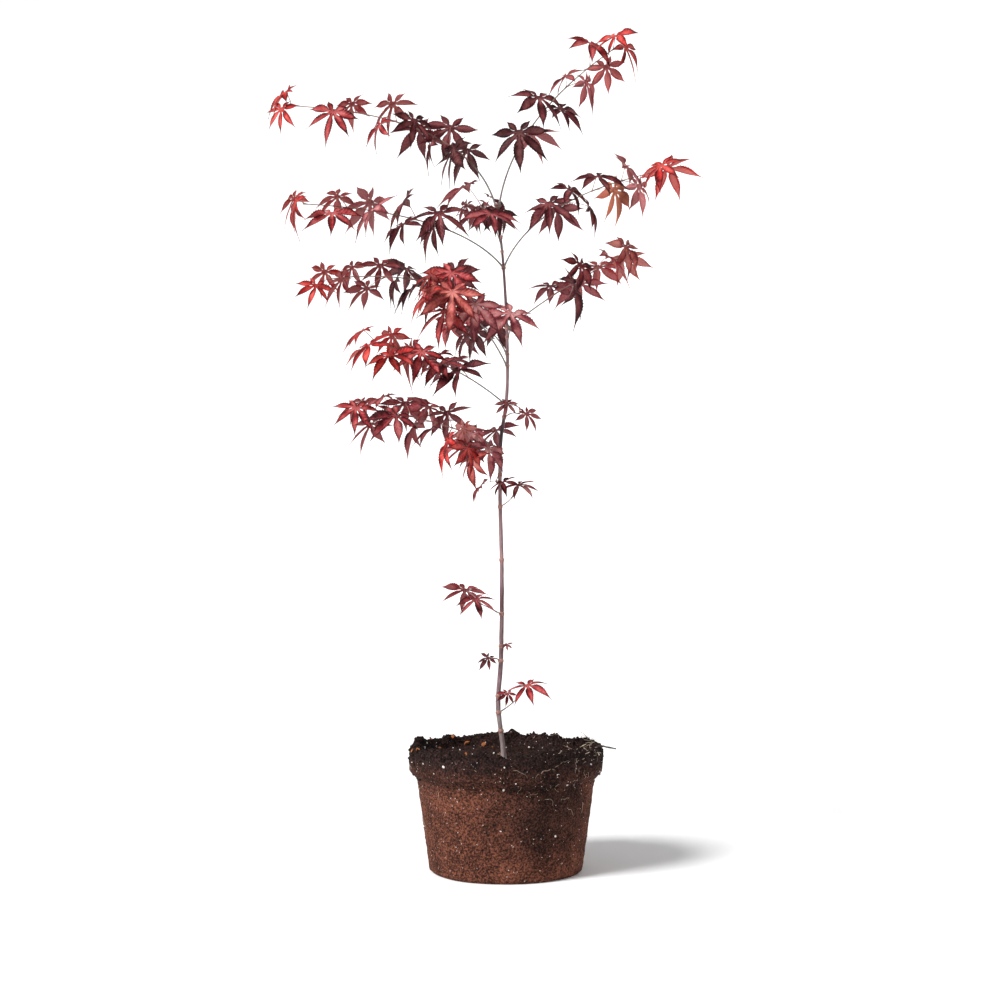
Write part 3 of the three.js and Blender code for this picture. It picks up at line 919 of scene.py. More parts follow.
@dataclass(frozen=True)
class LeafPattern:
    """The palmate leaf, in shares of its middle lobe's length, which every leaf is cut from.

    Eight sectors meet at the hub: seven lobes, and a low heel where the stalk joins. Each is a grid of
    rows along its midrib and columns across it. Up to the sinus a row spans the sector's two side rays,
    which it shares with its neighbours, and beyond the sinus it spans the lobe's own margin.
    """

    turns: tuple[float, ...] = (-134.0, -91.0, -46.0, 0.0, 46.0, 91.0, 134.0, 180.0)
    reaches: tuple[float, ...] = (0.45, 0.78, 0.94, 1.0, 0.94, 0.78, 0.45, 0.075)
    rows: tuple[int, ...] = (17, 25, 29, 31, 29, 25, 17, 5)
    sinuses: tuple[float, ...] = (0.1, 0.12, 0.13, 0.13, 0.12, 0.1, 0.06, 0.06)  # after each lobe
    hub_rows: int = 3
    across: tuple[float, ...] = (-1.0, -0.5, 0.0, 0.5, 1.0)
    half_width: float = 0.118  # of the middle lobe: the others' goes with the root of their reach
    rise: float = 1.3  # the margin swells as share^rise and closes as (1 - share)^close
    close: float = 1.6
    tail: Pair = (0.6, 0.9)  # the shares between which the tip is drawn in to a tail
    tail_slim: float = 0.5
    neck: float = 0.2  # the share past the sinus in which the margin takes over from it
    tooth: float = 0.16  # how deep the teeth are, as a share of the half width
    tooth_from: float = 0.25  # the share past the sinus from where they are full
    fold: float = 0.48  # how steeply both halves of a lobe rise from its midrib
    pleat: float = 0.006  # how far the rows rise and sink by turns, halfway to the margin
    curl: float = 0.14  # how far the middle lobe's tip bends down
    thick: float = 0.011
    rib: Pair = (0.008, 0.0022)  # a midrib's radius at the hub and at the tip
    rib_reach: float = 0.93  # as a share of the lobe's
    rib_points: int = 9
    rib_sides: int = 4

    def margin(self, share: Array) -> Array:
        """A lobe's half width: share^rise (1 - share)^close, drawn in along the tail.

        Args:
            share: how far along the lobe.

        Returns:
            The half width, which is half_width where it is widest.
        """
        widest = self.rise / (self.rise + self.close)
        most = widest**self.rise * (1 - widest) ** self.close
        drawn = 1 - self.tail_slim * rising(share, *self.tail)
        return self.half_width * share**self.rise * (1 - share) ** self.close / most * drawn

    def sector(self, lobe: int) -> tuple[Array, Array, Array]:
        """One sector's flat grid.

        Args:
            lobe: its place among the turns.

        Returns:
            Its corners' places along and across the lobe, (rows, columns, 2), each corner's share of the
            blade's thickness, and its texture place.
        """
        gaps = np.radians((np.roll(self.turns, -1) - self.turns) % 360 / 2)
        reach, rows = self.reaches[lobe], self.rows[lobe]
        step = np.arange(rows)
        inside = step <= self.hub_rows
        share = np.clip((step - self.hub_rows) / (rows - 1 - self.hub_rows), 0, 1)
        teeth = self.tooth * np.where(step % 2, 0.5, -0.5) * rising(share, 0, self.tooth_from)
        edges = []
        for side, after in ((-1, lobe - 1), (1, lobe)):
            gap, sinus = gaps[after], self.sinuses[after]
            ray = np.minimum(step / self.hub_rows, 1) * sinus
            along = mix(sinus * math.cos(gap), reach, share)
            own = self.margin(along / reach) * reach**0.5
            half = mix(sinus * math.sin(gap) * (1 - share), own, rising(share, 0, self.neck))
            x = np.where(inside, ray * math.cos(gap), along)
            y = np.where(inside, ray * math.sin(gap), np.where(share < 1, half * (1 + teeth), 0))
            edges.append(np.stack([x, side * y], 1))
        middle = np.stack([(edges[0][:, 0] + edges[1][:, 0]) / 2, np.zeros(rows)], 1)
        across = np.array(self.across)[None, :, None]
        left, right, rib = (edge[:, None] for edge in (*edges, middle))
        flat = rib + np.where(across < 0, left - rib, right - rib) * np.abs(across)
        full = np.where((np.abs(self.across) == 1) & (step >= self.hub_rows)[:, None], 0.0, 1.0)
        full[-1] = 0
        weave = np.stack(np.broadcast_arrays(flat[..., 0] / reach, self.across), -1)
        return flat, full, weave

    def blade(self) -> tuple[Surface, Array]:
        """The whole blade, with both its sides, its sectors' shared corners merged.

        Returns:
            Its surface, and the lobe of each of its corners.
        """
        parts = []
        start = 0
        for lobe, turn in enumerate(np.radians(self.turns)):
            flat, full, weave = self.sector(lobe)
            rows, columns = full.shape
            along, aside = flat[..., 0], flat[..., 1]
            x = along * math.cos(turn) - aside * math.sin(turn)
            y = along * math.sin(turn) + aside * math.cos(turn)
            row = np.arange(rows)[:, None]
            between = (np.abs(self.across) == 0.5) & (row > self.hub_rows)
            rise = self.fold * np.abs(aside) + self.pleat * np.where(row % 2, 1, -1) * between * full
            cells = grid_faces(rows, columns, False)
            for coat, way in ((0, 1), (1, -1)):
                spots = np.stack([x, y, rise + way * self.thick / 2 * full], -1).reshape(-1, 3)
                faces = cells[:, ::-way]
                parts.append((spots, np.full(len(spots), lobe), faces + start, np.full(len(cells), coat),
                              weave.reshape(-1, 2)[faces]))
                start += len(spots)
        spots, lobes, faces, coats, weave = (np.concatenate(column) for column in zip(*parts))
        _, first, merged = np.unique(np.round(spots, 6), axis=0, return_index=True, return_inverse=True)
        corners = merged.reshape(-1)[faces]
        whole = (corners != np.roll(corners, 1, axis=1)).all(axis=1)
        return Surface(spots[first], corners[whole], coats[whole], weave[whole]), lobes[first]

    def midribs(self) -> tuple[Surface, Array]:
        """The midribs of the seven lobes, as thin tubes along them.

        Returns:
            Their surface, and the lobe of each of its corners.
        """
        lobes = len(self.turns) - 1
        shares = np.linspace(0, self.rib_reach, self.rib_points)
        out = shares * np.array(self.reaches[:lobes])[:, None]
        paths = polar(out, np.radians(self.turns[:lobes])[:, None])
        ribs = tubes(paths, mix(*self.rib, shares)[None], self.rib_sides)
        return ribs, np.repeat(np.arange(lobes), len(ribs.spots) // lobes)


@dataclass(frozen=True)
class LeafPose:
    """How far one leaf strays from the pattern, in degrees and in shares of its size."""

    turn: float = 7.0
    reach: float = 0.07
    droop: float = 0.34
    droop_least: float = 0.02
    droop_power: float = 1.6  # the higher, the fewer lobes that droop far
    sway: float = 0.1
    twist: float = 34.0
    fold: float = 0.22
    hub: float = 0.12  # nothing strays nearer the hub than this
    freed: float = 0.25  # and past this much more it strays in full

    def spots(self, cut: Surface, lobes: Array, leaves: Leaves, seed: int, pattern: LeafPattern) -> Array:
        """The corners of what is cut from the pattern, at every leaf.

        Past the hub each lobe is turned about it, stretched, bent down as the square of its reach and
        swayed aside. It is twisted about its midrib and folded more or less along it: z changes by
        tan(twist) aside + fold |aside|, where aside is the distance from the midrib. All of the blade curls
        down as the square of its reach. The place is then hub + size (x axis + y across + z normal).

        Args:
            cut: what is cut from the pattern.
            lobes: the lobe of each of its corners.
            leaves: where the leaves are.
            seed: the seed of what strays. The same seed strays blades and midribs alike.
            pattern: the pattern.

        Returns:
            (leaves, corners, 3) in millimetres.
        """
        rng = np.random.default_rng(seed)
        strays = rng.uniform(-1, 1, (6, len(leaves.size), len(pattern.turns)))[..., lobes]
        turn, stretch, droop, sway, twist, fold = strays
        flat_x, flat_y, flat_z = cut.spots.T
        reach, angle = np.hypot(flat_x, flat_y), np.arctan2(flat_y, flat_x)
        aside = reach * np.sin(angle - np.radians(pattern.turns)[lobes])
        past = np.maximum(reach - self.hub, 0)
        free = rising(past, 0, self.freed)
        droop = self.droop_least + self.droop * ((droop + 1) / 2) ** self.droop_power
        lift = np.tan(np.radians(self.twist) * twist) * aside + self.fold * fold * np.abs(aside)
        height = flat_z - pattern.curl * reach**2 - droop * past**2 + free * lift
        angle = angle + np.radians(self.turn) * turn * free + self.sway * sway * past**2
        places = polar(reach * (1 + self.reach * stretch * free), angle, height)
        ways = np.stack([leaves.axis, np.cross(leaves.axis, leaves.normal), leaves.normal], 1)
        return leaves.hub[:, None] + leaves.size[:, None, None] * (places @ ways)


# Sub-assemblies

@dataclass
class Crown:
    """All that grows from the boughs: twigs, buds, stalks, and blades with their midribs."""

    sprays: tuple[Spray, ...] = SPRAYS
    pattern: LeafPattern = LeafPattern()
    pose: LeafPose = LeafPose()
    first_seed: int = 100
    twig_points: int = 90
    twig_sides: int = 8
    twig_gap: float = 0.3  # between a bough's end and its twig
    stalk_points: int = 12
    stalk_sides: int = 6
    stalk_radius: Pair = (0.48, 0.34)  # at the twig and at the blade
    stalk_sag: float = 0.07
    stalk_swell: float = 0.45
    stalk_swell_share: float = 0.06
    full_leaf: float = 30.0  # the size from which a leaf has a full stalk
    least_stalk: float = 0.6
    bud_length: float = 3.4
    axil_length: float = 2.2
    bud_width: float = 0.24
    bud_sunk: float = 0.16
    bud_outline: Point = (0.18, 0.8, 0.05)  # where on a half wave it starts, its power, and what is added
    bud_points: int = 7
    bud_sides: int = 6

    def build(self) -> None:
        """Makes every piece of the crown."""
        leaves = Leaves(*(np.concatenate(column) for column in zip(*(spray.lay() for spray in self.sprays))))
        tints = [(tint, spray.node) for spray in self.sprays for tint in spray.leaf_tints()]
        self.build_twigs()
        self.build_buds(leaves)
        self.build_stalks(leaves)
        for rank, tint in enumerate(Tint):
            which = np.array([mine is tint for mine, _ in tints])
            nodes = sorted({node for mine, node in tints if mine is tint})
            self.build_blades(tint, leaves.chosen(which), self.first_seed + rank, tuple(nodes))

    def build_twigs(self) -> None:
        """The twigs that carry the leaves, from where each bough ends to its tip."""
        finish = MottledFinish("Maple shoot, this year's", "7d5a4c", "533a34", 3.0, 0.1, 0.6)
        starts = [spray.bare + (self.twig_gap / spray.length if spray.bare else 0) for spray in self.sprays]
        paths, radii = carried(self.sprays, np.linspace(starts, 1, self.twig_points, axis=1))
        make_piece("twigs", tubes(paths, radii, self.twig_sides), finish,
                   tuple(spray.node for spray in self.sprays))

    def build_buds(self, leaves: Leaves) -> None:
        """A pointed bud at every tip, and a smaller one in the axil of every leaf.

        A bud's outline is a piece of a half wave: sin(pi s)^power, a little widened.

        Args:
            leaves: where the leaves are.
        """
        places = np.concatenate([[spray.tip for spray in self.sprays], leaves.foot])
        onward = [spray.heading(1.0) for spray in self.sprays]
        ways = np.concatenate([onward, unit(leaves.along + leaves.heading)])
        length = np.repeat((self.bud_length, self.axil_length), (len(onward), len(leaves.foot)))[:, None]
        shares = np.linspace(0, 1, self.bud_points)
        paths = places[:, None] + ways[:, None] * (length * (shares - self.bud_sunk))[..., None]
        start, power, more = self.bud_outline
        radii = length * self.bud_width * (np.sin(math.pi * mix(start, 1, shares)) ** power + more)
        finish = MottledFinish("Maple bud scales, glossy", "8c4038", "5a2a28", 1.2, 0.05, 0.4)
        make_piece("buds", tubes(paths, radii, self.bud_sides), finish)

    def build_stalks(self, leaves: Leaves) -> None:
        """A slender stalk for each leaf, in a low arc from the twig to the blade's hub.

        Args:
            leaves: where the leaves are.
        """
        shares = np.linspace(0, 1, self.stalk_points)[None]
        knee = (leaves.foot + leaves.hub) / 2 + UP * (self.stalk_sag * leaves.size)[:, None]
        paths = bezier(leaves.foot[:, None], knee[:, None], leaves.hub[:, None], shares)
        swell = self.stalk_swell * np.exp(-shares / self.stalk_swell_share)
        slim = np.clip(leaves.size / self.full_leaf, self.least_stalk, 1)[:, None]
        radii = (mix(*self.stalk_radius, shares) + swell) * slim
        finish = MottledFinish("Leaf stalk, fresh", "9a6560", "7a4a46", 4.0, 0.05, 0.5)
        make_piece("leaf_stalks", tubes(paths, radii, self.stalk_sides), finish)

    def build_blades(self, tint: Tint, leaves: Leaves, seed: int, nodes: tuple[str, ...]) -> None:
        """The blades of one tint, and their midribs.

        Args:
            tint: the tint.
            leaves: where they are.
            seed: the seed of how they stray from the pattern.
            nodes: the frame's nodes that they stand for.
        """
        leaf = tint.value
        vein = MottledFinish(f"{leaf.name} leaf midrib", leaf.under, leaf.main, 5.0, 0.03, 0.5)
        for kind, (cut, lobes), finish, stands_for in (
            ("blades", self.pattern.blade(), leaf, nodes), ("midribs", self.pattern.midribs(), vein, ()),
        ):
            surface = cut.cast(self.pose.spots(cut, lobes, leaves, seed, self.pattern))
            make_piece(f"{kind}_{leaf.name.lower()}", surface, finish, stands_for)


@dataclass
class Wood:
    """The trunk and the boughs, with their bark's relief."""

    path: tuple[Point, ...] = (
        (-1, 0, 110), (-3, 0, 136), (-8, -2, 179), (-5, 2, 229), (-4, 3, 321), (-6, -2, 414),
        (-5, -3, 469), (1, 1, 512), (2, 3, 572), (-2, 0, 654), (-9, 0, 724),
    )
    radii: Pair = (2.6, 1.2)  # above the flare and at the fork
    taper: float = 1.6
    flare: Pair = (1.0, 9.0)  # how much thicker the foot is, and over what height
    fork: Pair = (0.8, 0.012)  # how much thicker the fork is, and over what share of the length
    floor: float = 120.0
    sunk: float = 6.0  # how far below the floor the bark starts
    rings: int = 620
    sides: int = 28
    bark: Roughness = Roughness(0.07, 1.6, 3, 31)
    bark_radius: float = 4.0  # of the ring on which a bark's noise is read
    node: Pair = (0.4, 1.6)  # a node's rise and its length
    scar: Point = (0.28, 0.5, 2.4)  # a scar's depth, its length and its height above the node
    lone_nodes: Pair = (152.0, 338.0)  # heights of nodes that nothing grows from
    collar_half: float = 2.2
    collar_rise: float = 0.35
    collar_sunk: float = 0.15
    collar_rings: int = 9
    bough_points: int = 80
    bough_sides: int = 12
    bough_bark: Roughness = Roughness(0.06, 1.6, 2, 57)
    bough_bark_radius: float = 3.0
    bough_collar: Pair = (0.6, 3.0)  # how much thicker a bough's root is, and over what length
    bud_rings: tuple[float, ...] = (0.22, 9.0, 3.0, 4.0)  # rise, place, spread, and radians to a millimetre
    squeeze: float = 0.12  # of the bark's noise along the wood, which makes streaks of it

    @property
    def node_heights(self) -> Array:
        """The height of every node of the trunk."""
        return np.array([*(spray.root[2] for spray in SPRAYS), *self.lone_nodes])

    def build(self) -> None:
        """Makes the trunk and the boughs."""
        self.build_trunk()
        self.build_boughs()

    def build_trunk(self) -> None:
        """The trunk and its nodes.

        Its radius falls from the foot to the fork by the share of its length to the power of taper. It
        swells in a flare at the foot, at the fork and at each node, and a fine scar lies above each node.
        Fine streaks run up it.
        """
        path = smooth_path(np.array(self.path, float), self.rings)
        height = path[:, 2]
        share = np.linspace(0, 1, self.rings)
        above = np.maximum(0, height - self.floor)
        away = height - self.node_heights[:, None]
        radius = mix(*self.radii, share**self.taper) + self.flare[0] * np.exp(-above / self.flare[1])
        radius += self.fork[0] * swelling(1 - share, self.fork[1])
        radius += self.node[0] * swelling(away, self.node[1]).sum(axis=0)
        radius -= self.scar[0] * swelling(away - self.scar[2], self.scar[1]).sum(axis=0)
        around = polar(self.bark_radius, circle(self.sides), height[:, None] * self.squeeze)
        shown = height > self.floor - self.sunk
        radii = (radius[:, None] * (1 + self.bark.at(around)))[None, shown]
        surface = tubes(path[None, shown], radii, self.sides)
        make_piece("trunk_bark", surface, YoungBark(), ("trunk",))
        self.build_nodes(path, radius)

    def build_nodes(self, path: Array, radius: Array) -> None:
        """A reddish collar round the trunk at each of its nodes.

        Args:
            path: the trunk's path.
            radius: its radius at each of the path's points.
        """
        shares = np.linspace(-1, 1, self.collar_rings)
        heights = self.node_heights[:, None] + self.collar_half * shares
        bare = np.interp(heights, path[:, 2], radius) * (1 + self.bark.height)
        radii = bare + self.collar_rise * (1 - shares**2) - self.collar_sunk
        middles = read_off(heights, path[:, 2], path)
        middles[..., 2] = heights  # also above the path's end, where read_off stays at the end
        finish = MottledFinish("Swollen node, reddish", "aa7c70", "74504a", 1.6, 0.15, 0.6)
        make_piece("trunk_nodes", tubes(middles, radii, self.sides // 2), finish)

    def build_boughs(self) -> None:
        """The boughs, each with a collar where it leaves the trunk and fine rings of bud scars near it."""
        boughs = tuple(spray for spray in SPRAYS if spray.bare)
        ends = [spray.bare for spray in boughs]
        paths, widths = carried(boughs, np.linspace(0, ends, self.bough_points, axis=1))
        passed = np.array([distances(path) for path in paths])
        rise, place, spread, rate = self.bud_rings
        widths += self.bough_collar[0] * np.exp(-passed / self.bough_collar[1])
        widths += rise * swelling(passed - place, spread) * np.cos(passed * rate)
        around = polar(self.bough_bark_radius, circle(self.bough_sides)) + paths[:, :, None] * self.squeeze
        surface = tubes(paths, widths[..., None] * (1 + self.bough_bark.at(around)), self.bough_sides)
        finish = MottledFinish("Maple bough bark, smooth", "867b76", "544a49", 2.2, 0.15, 0.62)
        nodes = tuple(f"bough_{spray.name}" for spray in boughs)
        make_piece("bough_bark", surface, finish, nodes)


def pebble() -> tuple[Array, Array]:
    """A rounded stone of 20 faces.

    Returns:
        The twelve corners of an icosahedron, at length 1, and its faces.
    """
    gold = (1 + math.sqrt(5)) / 2
    signs = np.array([[a, b] for a in (-1, 1) for b in (-1, 1)])
    flat = np.concatenate([np.zeros((4, 1)), signs * (1, gold)], 1)
    corners = unit(np.concatenate([np.roll(flat, k, axis=1) for k in range(3)]))
    # Neighbouring corners are 1.05 apart, and all others at least 1.7.
    near = np.linalg.norm(corners[:, None] - corners[None], axis=-1) < 1.2
    trios = combinations(range(len(corners)), 3)
    faces = np.array([trio for trio in trios if near[np.ix_(trio, trio)].all()])
    a, b, c = (corners[faces[:, k]] for k in range(3))
    inward = np.sum(np.cross(b - a, c - a) * a, axis=1) < 0
    faces[inward] = faces[inward][:, ::-1]
    return corners, faces


@dataclass
class Bed:
    """The root ball's skin, and the random numbers by which things are strewn on it."""

    skin: Surface
    rng: Rng

    def seats(self, count: int, low: float, high: float, inner: float) -> Array:
        """Places picked at random from the skin's corners.

        Args:
            count: how many.
            low: the height that they lie above.
            high: the height that they lie below.
            inner: the radius that they lie outside.

        Returns:
            (count, 3).
        """
        spots = self.skin.spots[:-2]
        fit = (spots[:, 2] > low) & (spots[:, 2] < high) & (np.hypot(spots[:, 0], spots[:, 1]) > inner)
        return spots[self.rng.choice(np.flatnonzero(fit), count, replace=False)]

    def pebbles(self, seats: Array, sizes: Array, lumpy: float) -> Surface:
        """Pebbles at seats, each lumpy in its own way, stretched to its sizes and turned at random.

        Args:
            seats: their middles, (n, 3).
            sizes: their half lengths along three axes, (n, 3).
            lumpy: how far a corner strays, as a share of its length.

        Returns:
            All the pebbles as one surface.
        """
        corners, faces = pebble()
        count = len(seats)
        strays = self.rng.uniform(-1, 1, (count, len(corners), 1))
        first = unit(self.rng.normal(size=(count, 3)))
        second = unit(np.cross(first, self.rng.normal(size=(count, 3))))
        ways = np.stack([first, second, np.cross(first, second)], 1)
        lumps = corners * (1 + lumpy * strays) * sizes[:, None]
        return Surface(corners, faces).cast(seats[:, None] + lumps @ ways)


@dataclass(frozen=True)
class Grains:
    """Grains strewn on the root ball, a share of them in each of their beds."""

    name: str
    finish: MottledFinish
    beds: tuple[Where, ...]
    sizes: Pair
    power: float  # the higher, the fewer large ones
    lumpy: float
    stretch: Pair = (0.7, 1.3)

    def build(self, bed: Bed) -> None:
        """Strews the grains.

        Args:
            bed: what they are strewn on.
        """
        seats = np.concatenate([bed.seats(*where) for where in self.beds])
        size = mix(*self.sizes, bed.rng.uniform(0, 1, (len(seats), 1)) ** self.power)
        sizes = size * bed.rng.uniform(*self.stretch, (len(seats), 3))
        make_piece(self.name, bed.pebbles(seats, sizes, self.lumpy), self.finish)


@dataclass
class Litter:
    """Bark chips and dry straws on the top, and one stray woody root that sticks out at the right."""

    chips: int = 26
    chip_bed: Where = (420, 119, 150, 30)
    chip_sector: Pair = (1.7, -1.9)  # they lie past the first angle or short of the second
    chip_lengths: Pair = (2.2, 5.0)
    chip_shape: tuple[Point, Point] = ((0.8, 0.4, 0.2), (1.1, 0.6, 0.3))  # the least and the most
    chip_rise: float = 0.8
    chip_lumps: float = 0.25
    straws: int = 34
    straw_bed: Where = (500, 128, 150, 80)
    straw_from: float = 30.0  # they lie further right than this
    straw_rise: float = 1.2
    straw_lengths: Pair = (5.0, 20.0)
    straw_radii: Pair = (0.14, 0.36)
    straw_points: int = 9
    straw_sides: int = 5
    straw_lie: Point = (1.0, 1.0, 0.3)  # how much of its heading each axis keeps, so that it lies low
    straw_bow: float = 2.2
    bow_lie: Point = (1.0, 1.0, 0.4)
    root: tuple[Point, ...] = ((92, -14, 133), (102, -18, 137.5), (110, -20, 136.5), (119, -22, 135))
    root_points: int = 24
    root_sides: int = 8
    root_radii: Pair = (1.15, 0.805)
    root_knobs: Pair = (0.15, 19.0)  # how much it swells and shrinks, and how often

    def build(self, bed: Bed) -> None:
        """Strews the chips and the straws, and lays the root.

        Args:
            bed: what they lie on.
        """
        self.build_chips(bed)
        self.build_straws(bed)
        shares = np.linspace(0, 1, self.root_points)
        swell, often = self.root_knobs
        radii = mix(*self.root_radii, shares) * (1 + swell * np.sin(often * shares))
        path = smooth_path(np.array(self.root), self.root_points)
        surface = tubes(path[None], radii[None], self.root_sides)
        finish = MottledFinish("Woody root, dark", "3a2a24", "1f1613", 2.0, 0.3, 0.8)
        make_piece("stray_root", surface, finish)

    def build_chips(self, bed: Bed) -> None:
        """Flat chips of bark, away from the right.

        Args:
            bed: what they lie on.
        """
        seats = bed.seats(*self.chip_bed)
        around = np.arctan2(seats[:, 1], seats[:, 0])
        seats = seats[(around > self.chip_sector[0]) | (around < self.chip_sector[1])][: self.chips]
        length = bed.rng.uniform(*self.chip_lengths, (len(seats), 1))
        sizes = length * bed.rng.uniform(*self.chip_shape, (len(seats), 3))
        chips = bed.pebbles(seats + UP * self.chip_rise, sizes, self.chip_lumps)
        finish = MottledFinish("Bark chip, torn", "a8622c", "6e3c1c", 2.4, 0.4, 0.8)
        make_piece("bark_chips", chips, finish)

    def build_straws(self, bed: Bed) -> None:
        """Thin bowed straws, near the lip on the right: the bow is 4 s (1 - s) times its most.

        Args:
            bed: what they lie on.
        """
        seats = bed.seats(*self.straw_bed) + UP * self.straw_rise
        seats = seats[seats[:, 0] > self.straw_from][: self.straws, None]
        size = (len(seats), 1, 3)
        ways = unit(bed.rng.normal(size=size) * self.straw_lie)
        shares = np.linspace(0, 1, self.straw_points)[:, None]
        bow = bed.rng.normal(0, self.straw_bow, size) * (shares * (1 - shares) * 4) * self.bow_lie
        paths = seats + ways * bed.rng.uniform(*self.straw_lengths, (len(seats), 1, 1)) * (shares - 0.5) + bow
        straws = tubes(paths, bed.rng.uniform(*self.straw_radii, (len(seats), 1)), self.straw_sides)
        finish = MottledFinish("Dry straw", "bfae98", "86715c", 3.0, 0.1, 0.6)
        make_piece("straws", straws, finish)


@dataclass
class RootBall:
    """The block of potting mix, which keeps the shape of its pot, with what sticks in it and lies on it."""

    base_radius: float = 83.0
    shoulder_radius: float = 96.5
    band_radius: float = 105.0
    band_from: float = 101.0
    band_to: float = 136.0
    bevel: float = 9.0
    edge: float = 3.0
    lip_width: float = 8.0
    dish: tuple[Pair, ...] = ((16.0, 5.0), (40.0, 2.0))
    floor: float = 120.0
    seat_radius: float = 14.0
    side_waves: tuple[Point, ...] = ((3, 0.8, 1.0), (7, 0.4, 4.0))  # times round, size and shift
    lip_waves: tuple[Point, ...] = ((5, 1.2, 0.0), (11, 0.8, 2.0))
    columns: int = 440
    rows: int = 210
    under_rows: int = 12
    hole: float = 2.0  # how far from the axis the rows start and end
    # Each pair is where one of these sets in and where it is in full, by radius or by height.
    rough_height: Pair = (0.0, 4.0)
    loose_height: Pair = (112.0, 126.0)
    loose_radius: Pair = (3.0, 15.0)
    lip_height: Pair = (127.0, 135.0)
    lip_radius: Pair = (80.0, 94.0)
    side_wave_radius: Pair = (14.0, 24.0)
    lip_wave_height: Pair = (126.0, 130.0)
    pressed: Roughness = Roughness(0.55, 9, 3, 3)
    fine: Roughness = Roughness(0.3, 2.4, 2, 9)
    pits: Roughness = Roughness(1.5, 6, 2, 21, 0.75)
    crumbly: Roughness = Roughness(1.5, 11, 4, 15)
    clods: Roughness = Roughness(6.5, 13, 2, 41, 0.0)
    seed: int = 12
    # White grains pressed into the side, most near its top, and on the top.
    grit: Grains = Grains(
        "grit", MottledFinish("Expanded mineral grit", "f2eeea", "c9bfb6", 1.0, 0.2, 0.9),
        ((120, 4, 133, 75), (130, 92, 134, 75), (60, 118, 150, 8)), (0.28, 1.6), 6.0, 0.25)
    # Loose crumbs and clods on the top, along the lip and on the band's worn edge. Their near-black colours
    # are partly the crumbs' own and partly painted shade of the dish.
    crumbs: Grains = Grains(
        "crumbs", MottledFinish("Crumbled potting mix", "2a1d18", "0e0a09", 2.0, 0.5, 0.95, 0.15),
        ((1500, 118, 150, 12), (900, 131, 150, 88), (260, 98, 108, 95)), (0.5, 2.1), 2.6, 0.35)
    roots: int = 34
    root_points: int = 30
    root_sides: int = 5
    root_share: float = 0.6  # of the roots, which lie near one place
    root_place: Pair = (-0.9, 0.35)  # its angle, and how far they spread round it
    root_heights: Pair = (50.0, 131.0)
    root_power: float = 0.35  # the lower, the more of them start near the rim
    root_steps: Pair = (0.2, 0.7)
    root_bend: float = 0.24
    root_proud: float = 0.35
    root_radii: Pair = (0.14, 0.3)
    root_tip: float = 0.45  # its radius as a share of its start's

    def profile(self) -> Array:
        """The turned outline.

        Returns:
            Its corners, as radius and height, from the underside's middle to the top's.
        """
        corners = [
            (0, 0), (self.base_radius - self.edge, 0), (self.base_radius, self.edge),
            (mix(self.base_radius, self.shoulder_radius, 0.5), self.band_from / 2),
            (self.shoulder_radius, self.band_from), (self.band_radius, self.band_from + self.bevel),
            (self.band_radius, self.band_to - 2 * self.edge), (self.band_radius - self.edge, self.band_to),
            (self.band_radius - self.lip_width, self.band_to),
            *((self.band_radius - inward, self.floor + up) for inward, up in self.dish),
            (self.seat_radius, self.floor), (0, self.floor),
        ]
        return np.array(corners, float)

    @staticmethod
    def waves(waves: tuple[Point, ...], angle: Array) -> Array:
        """The sum of size sin(times angle + shift)."""
        return sum(size * np.sin(times * angle + shift) for times, size, shift in waves)

    def skin(self) -> Surface:
        """The outer surface: the outline turned about the axis, roughened by layers of noise.

        The side is pressed smooth, so its relief is low. The lip and the top are loose, so clods a
        centimetre wide stand up on them. The underside stays level.

        Returns:
            The surface. Its corners are kept row by row, and then the two on the axis.
        """
        corners = self.profile()
        passed = distances(corners)
        under = self.base_radius - 2 * self.edge
        along = np.concatenate([np.linspace(self.hole, under, self.under_rows, endpoint=False),
                                np.linspace(under, passed[-1] - self.hole, self.rows)])
        radius, height = read_off(along, passed, corners).T
        slope = np.stack([np.gradient(height, along), -np.gradient(radius, along)], 1)
        outward = unit(slope)[:, None]
        angle, radius, height = circle(self.columns)[None], radius[:, None], height[:, None]
        loose = rising(height, *self.loose_height) * rising(radius, *self.loose_radius)
        lip = rising(height, *self.lip_height) * rising(radius, *self.lip_radius)
        ring = radius + self.waves(self.side_waves, angle) * rising(radius, *self.side_wave_radius)
        rise = height + self.waves(self.lip_waves, angle) * rising(height, *self.lip_wave_height)
        spots = polar(ring, angle, rise)
        relief = self.pressed.at(spots) + self.fine.at(spots) - self.pits.at(spots)
        relief = relief * rising(height, *self.rough_height) + self.crumbly.at(spots) * loose
        lift = relief * outward[..., 1] + self.clods.at(spots) * lip
        spots = spots + polar(relief * outward[..., 0], angle, lift)
        ends = [[0, 0, 0], [0, 0, spots[-1, :, 2].mean()]]
        return Surface(np.concatenate([spots.reshape(-1, 3), ends]), shell_faces(len(along), self.columns))

    def build(self) -> None:
        """Makes the root ball and all that is in and on it."""
        bed = Bed(self.skin(), np.random.default_rng(self.seed))
        make_piece("root_ball_skin", bed.skin, PottingMix(), ("root_ball",))
        self.grit.build(bed)
        self.crumbs.build(bed)
        self.build_roots(bed.rng)
        Litter().build(bed)

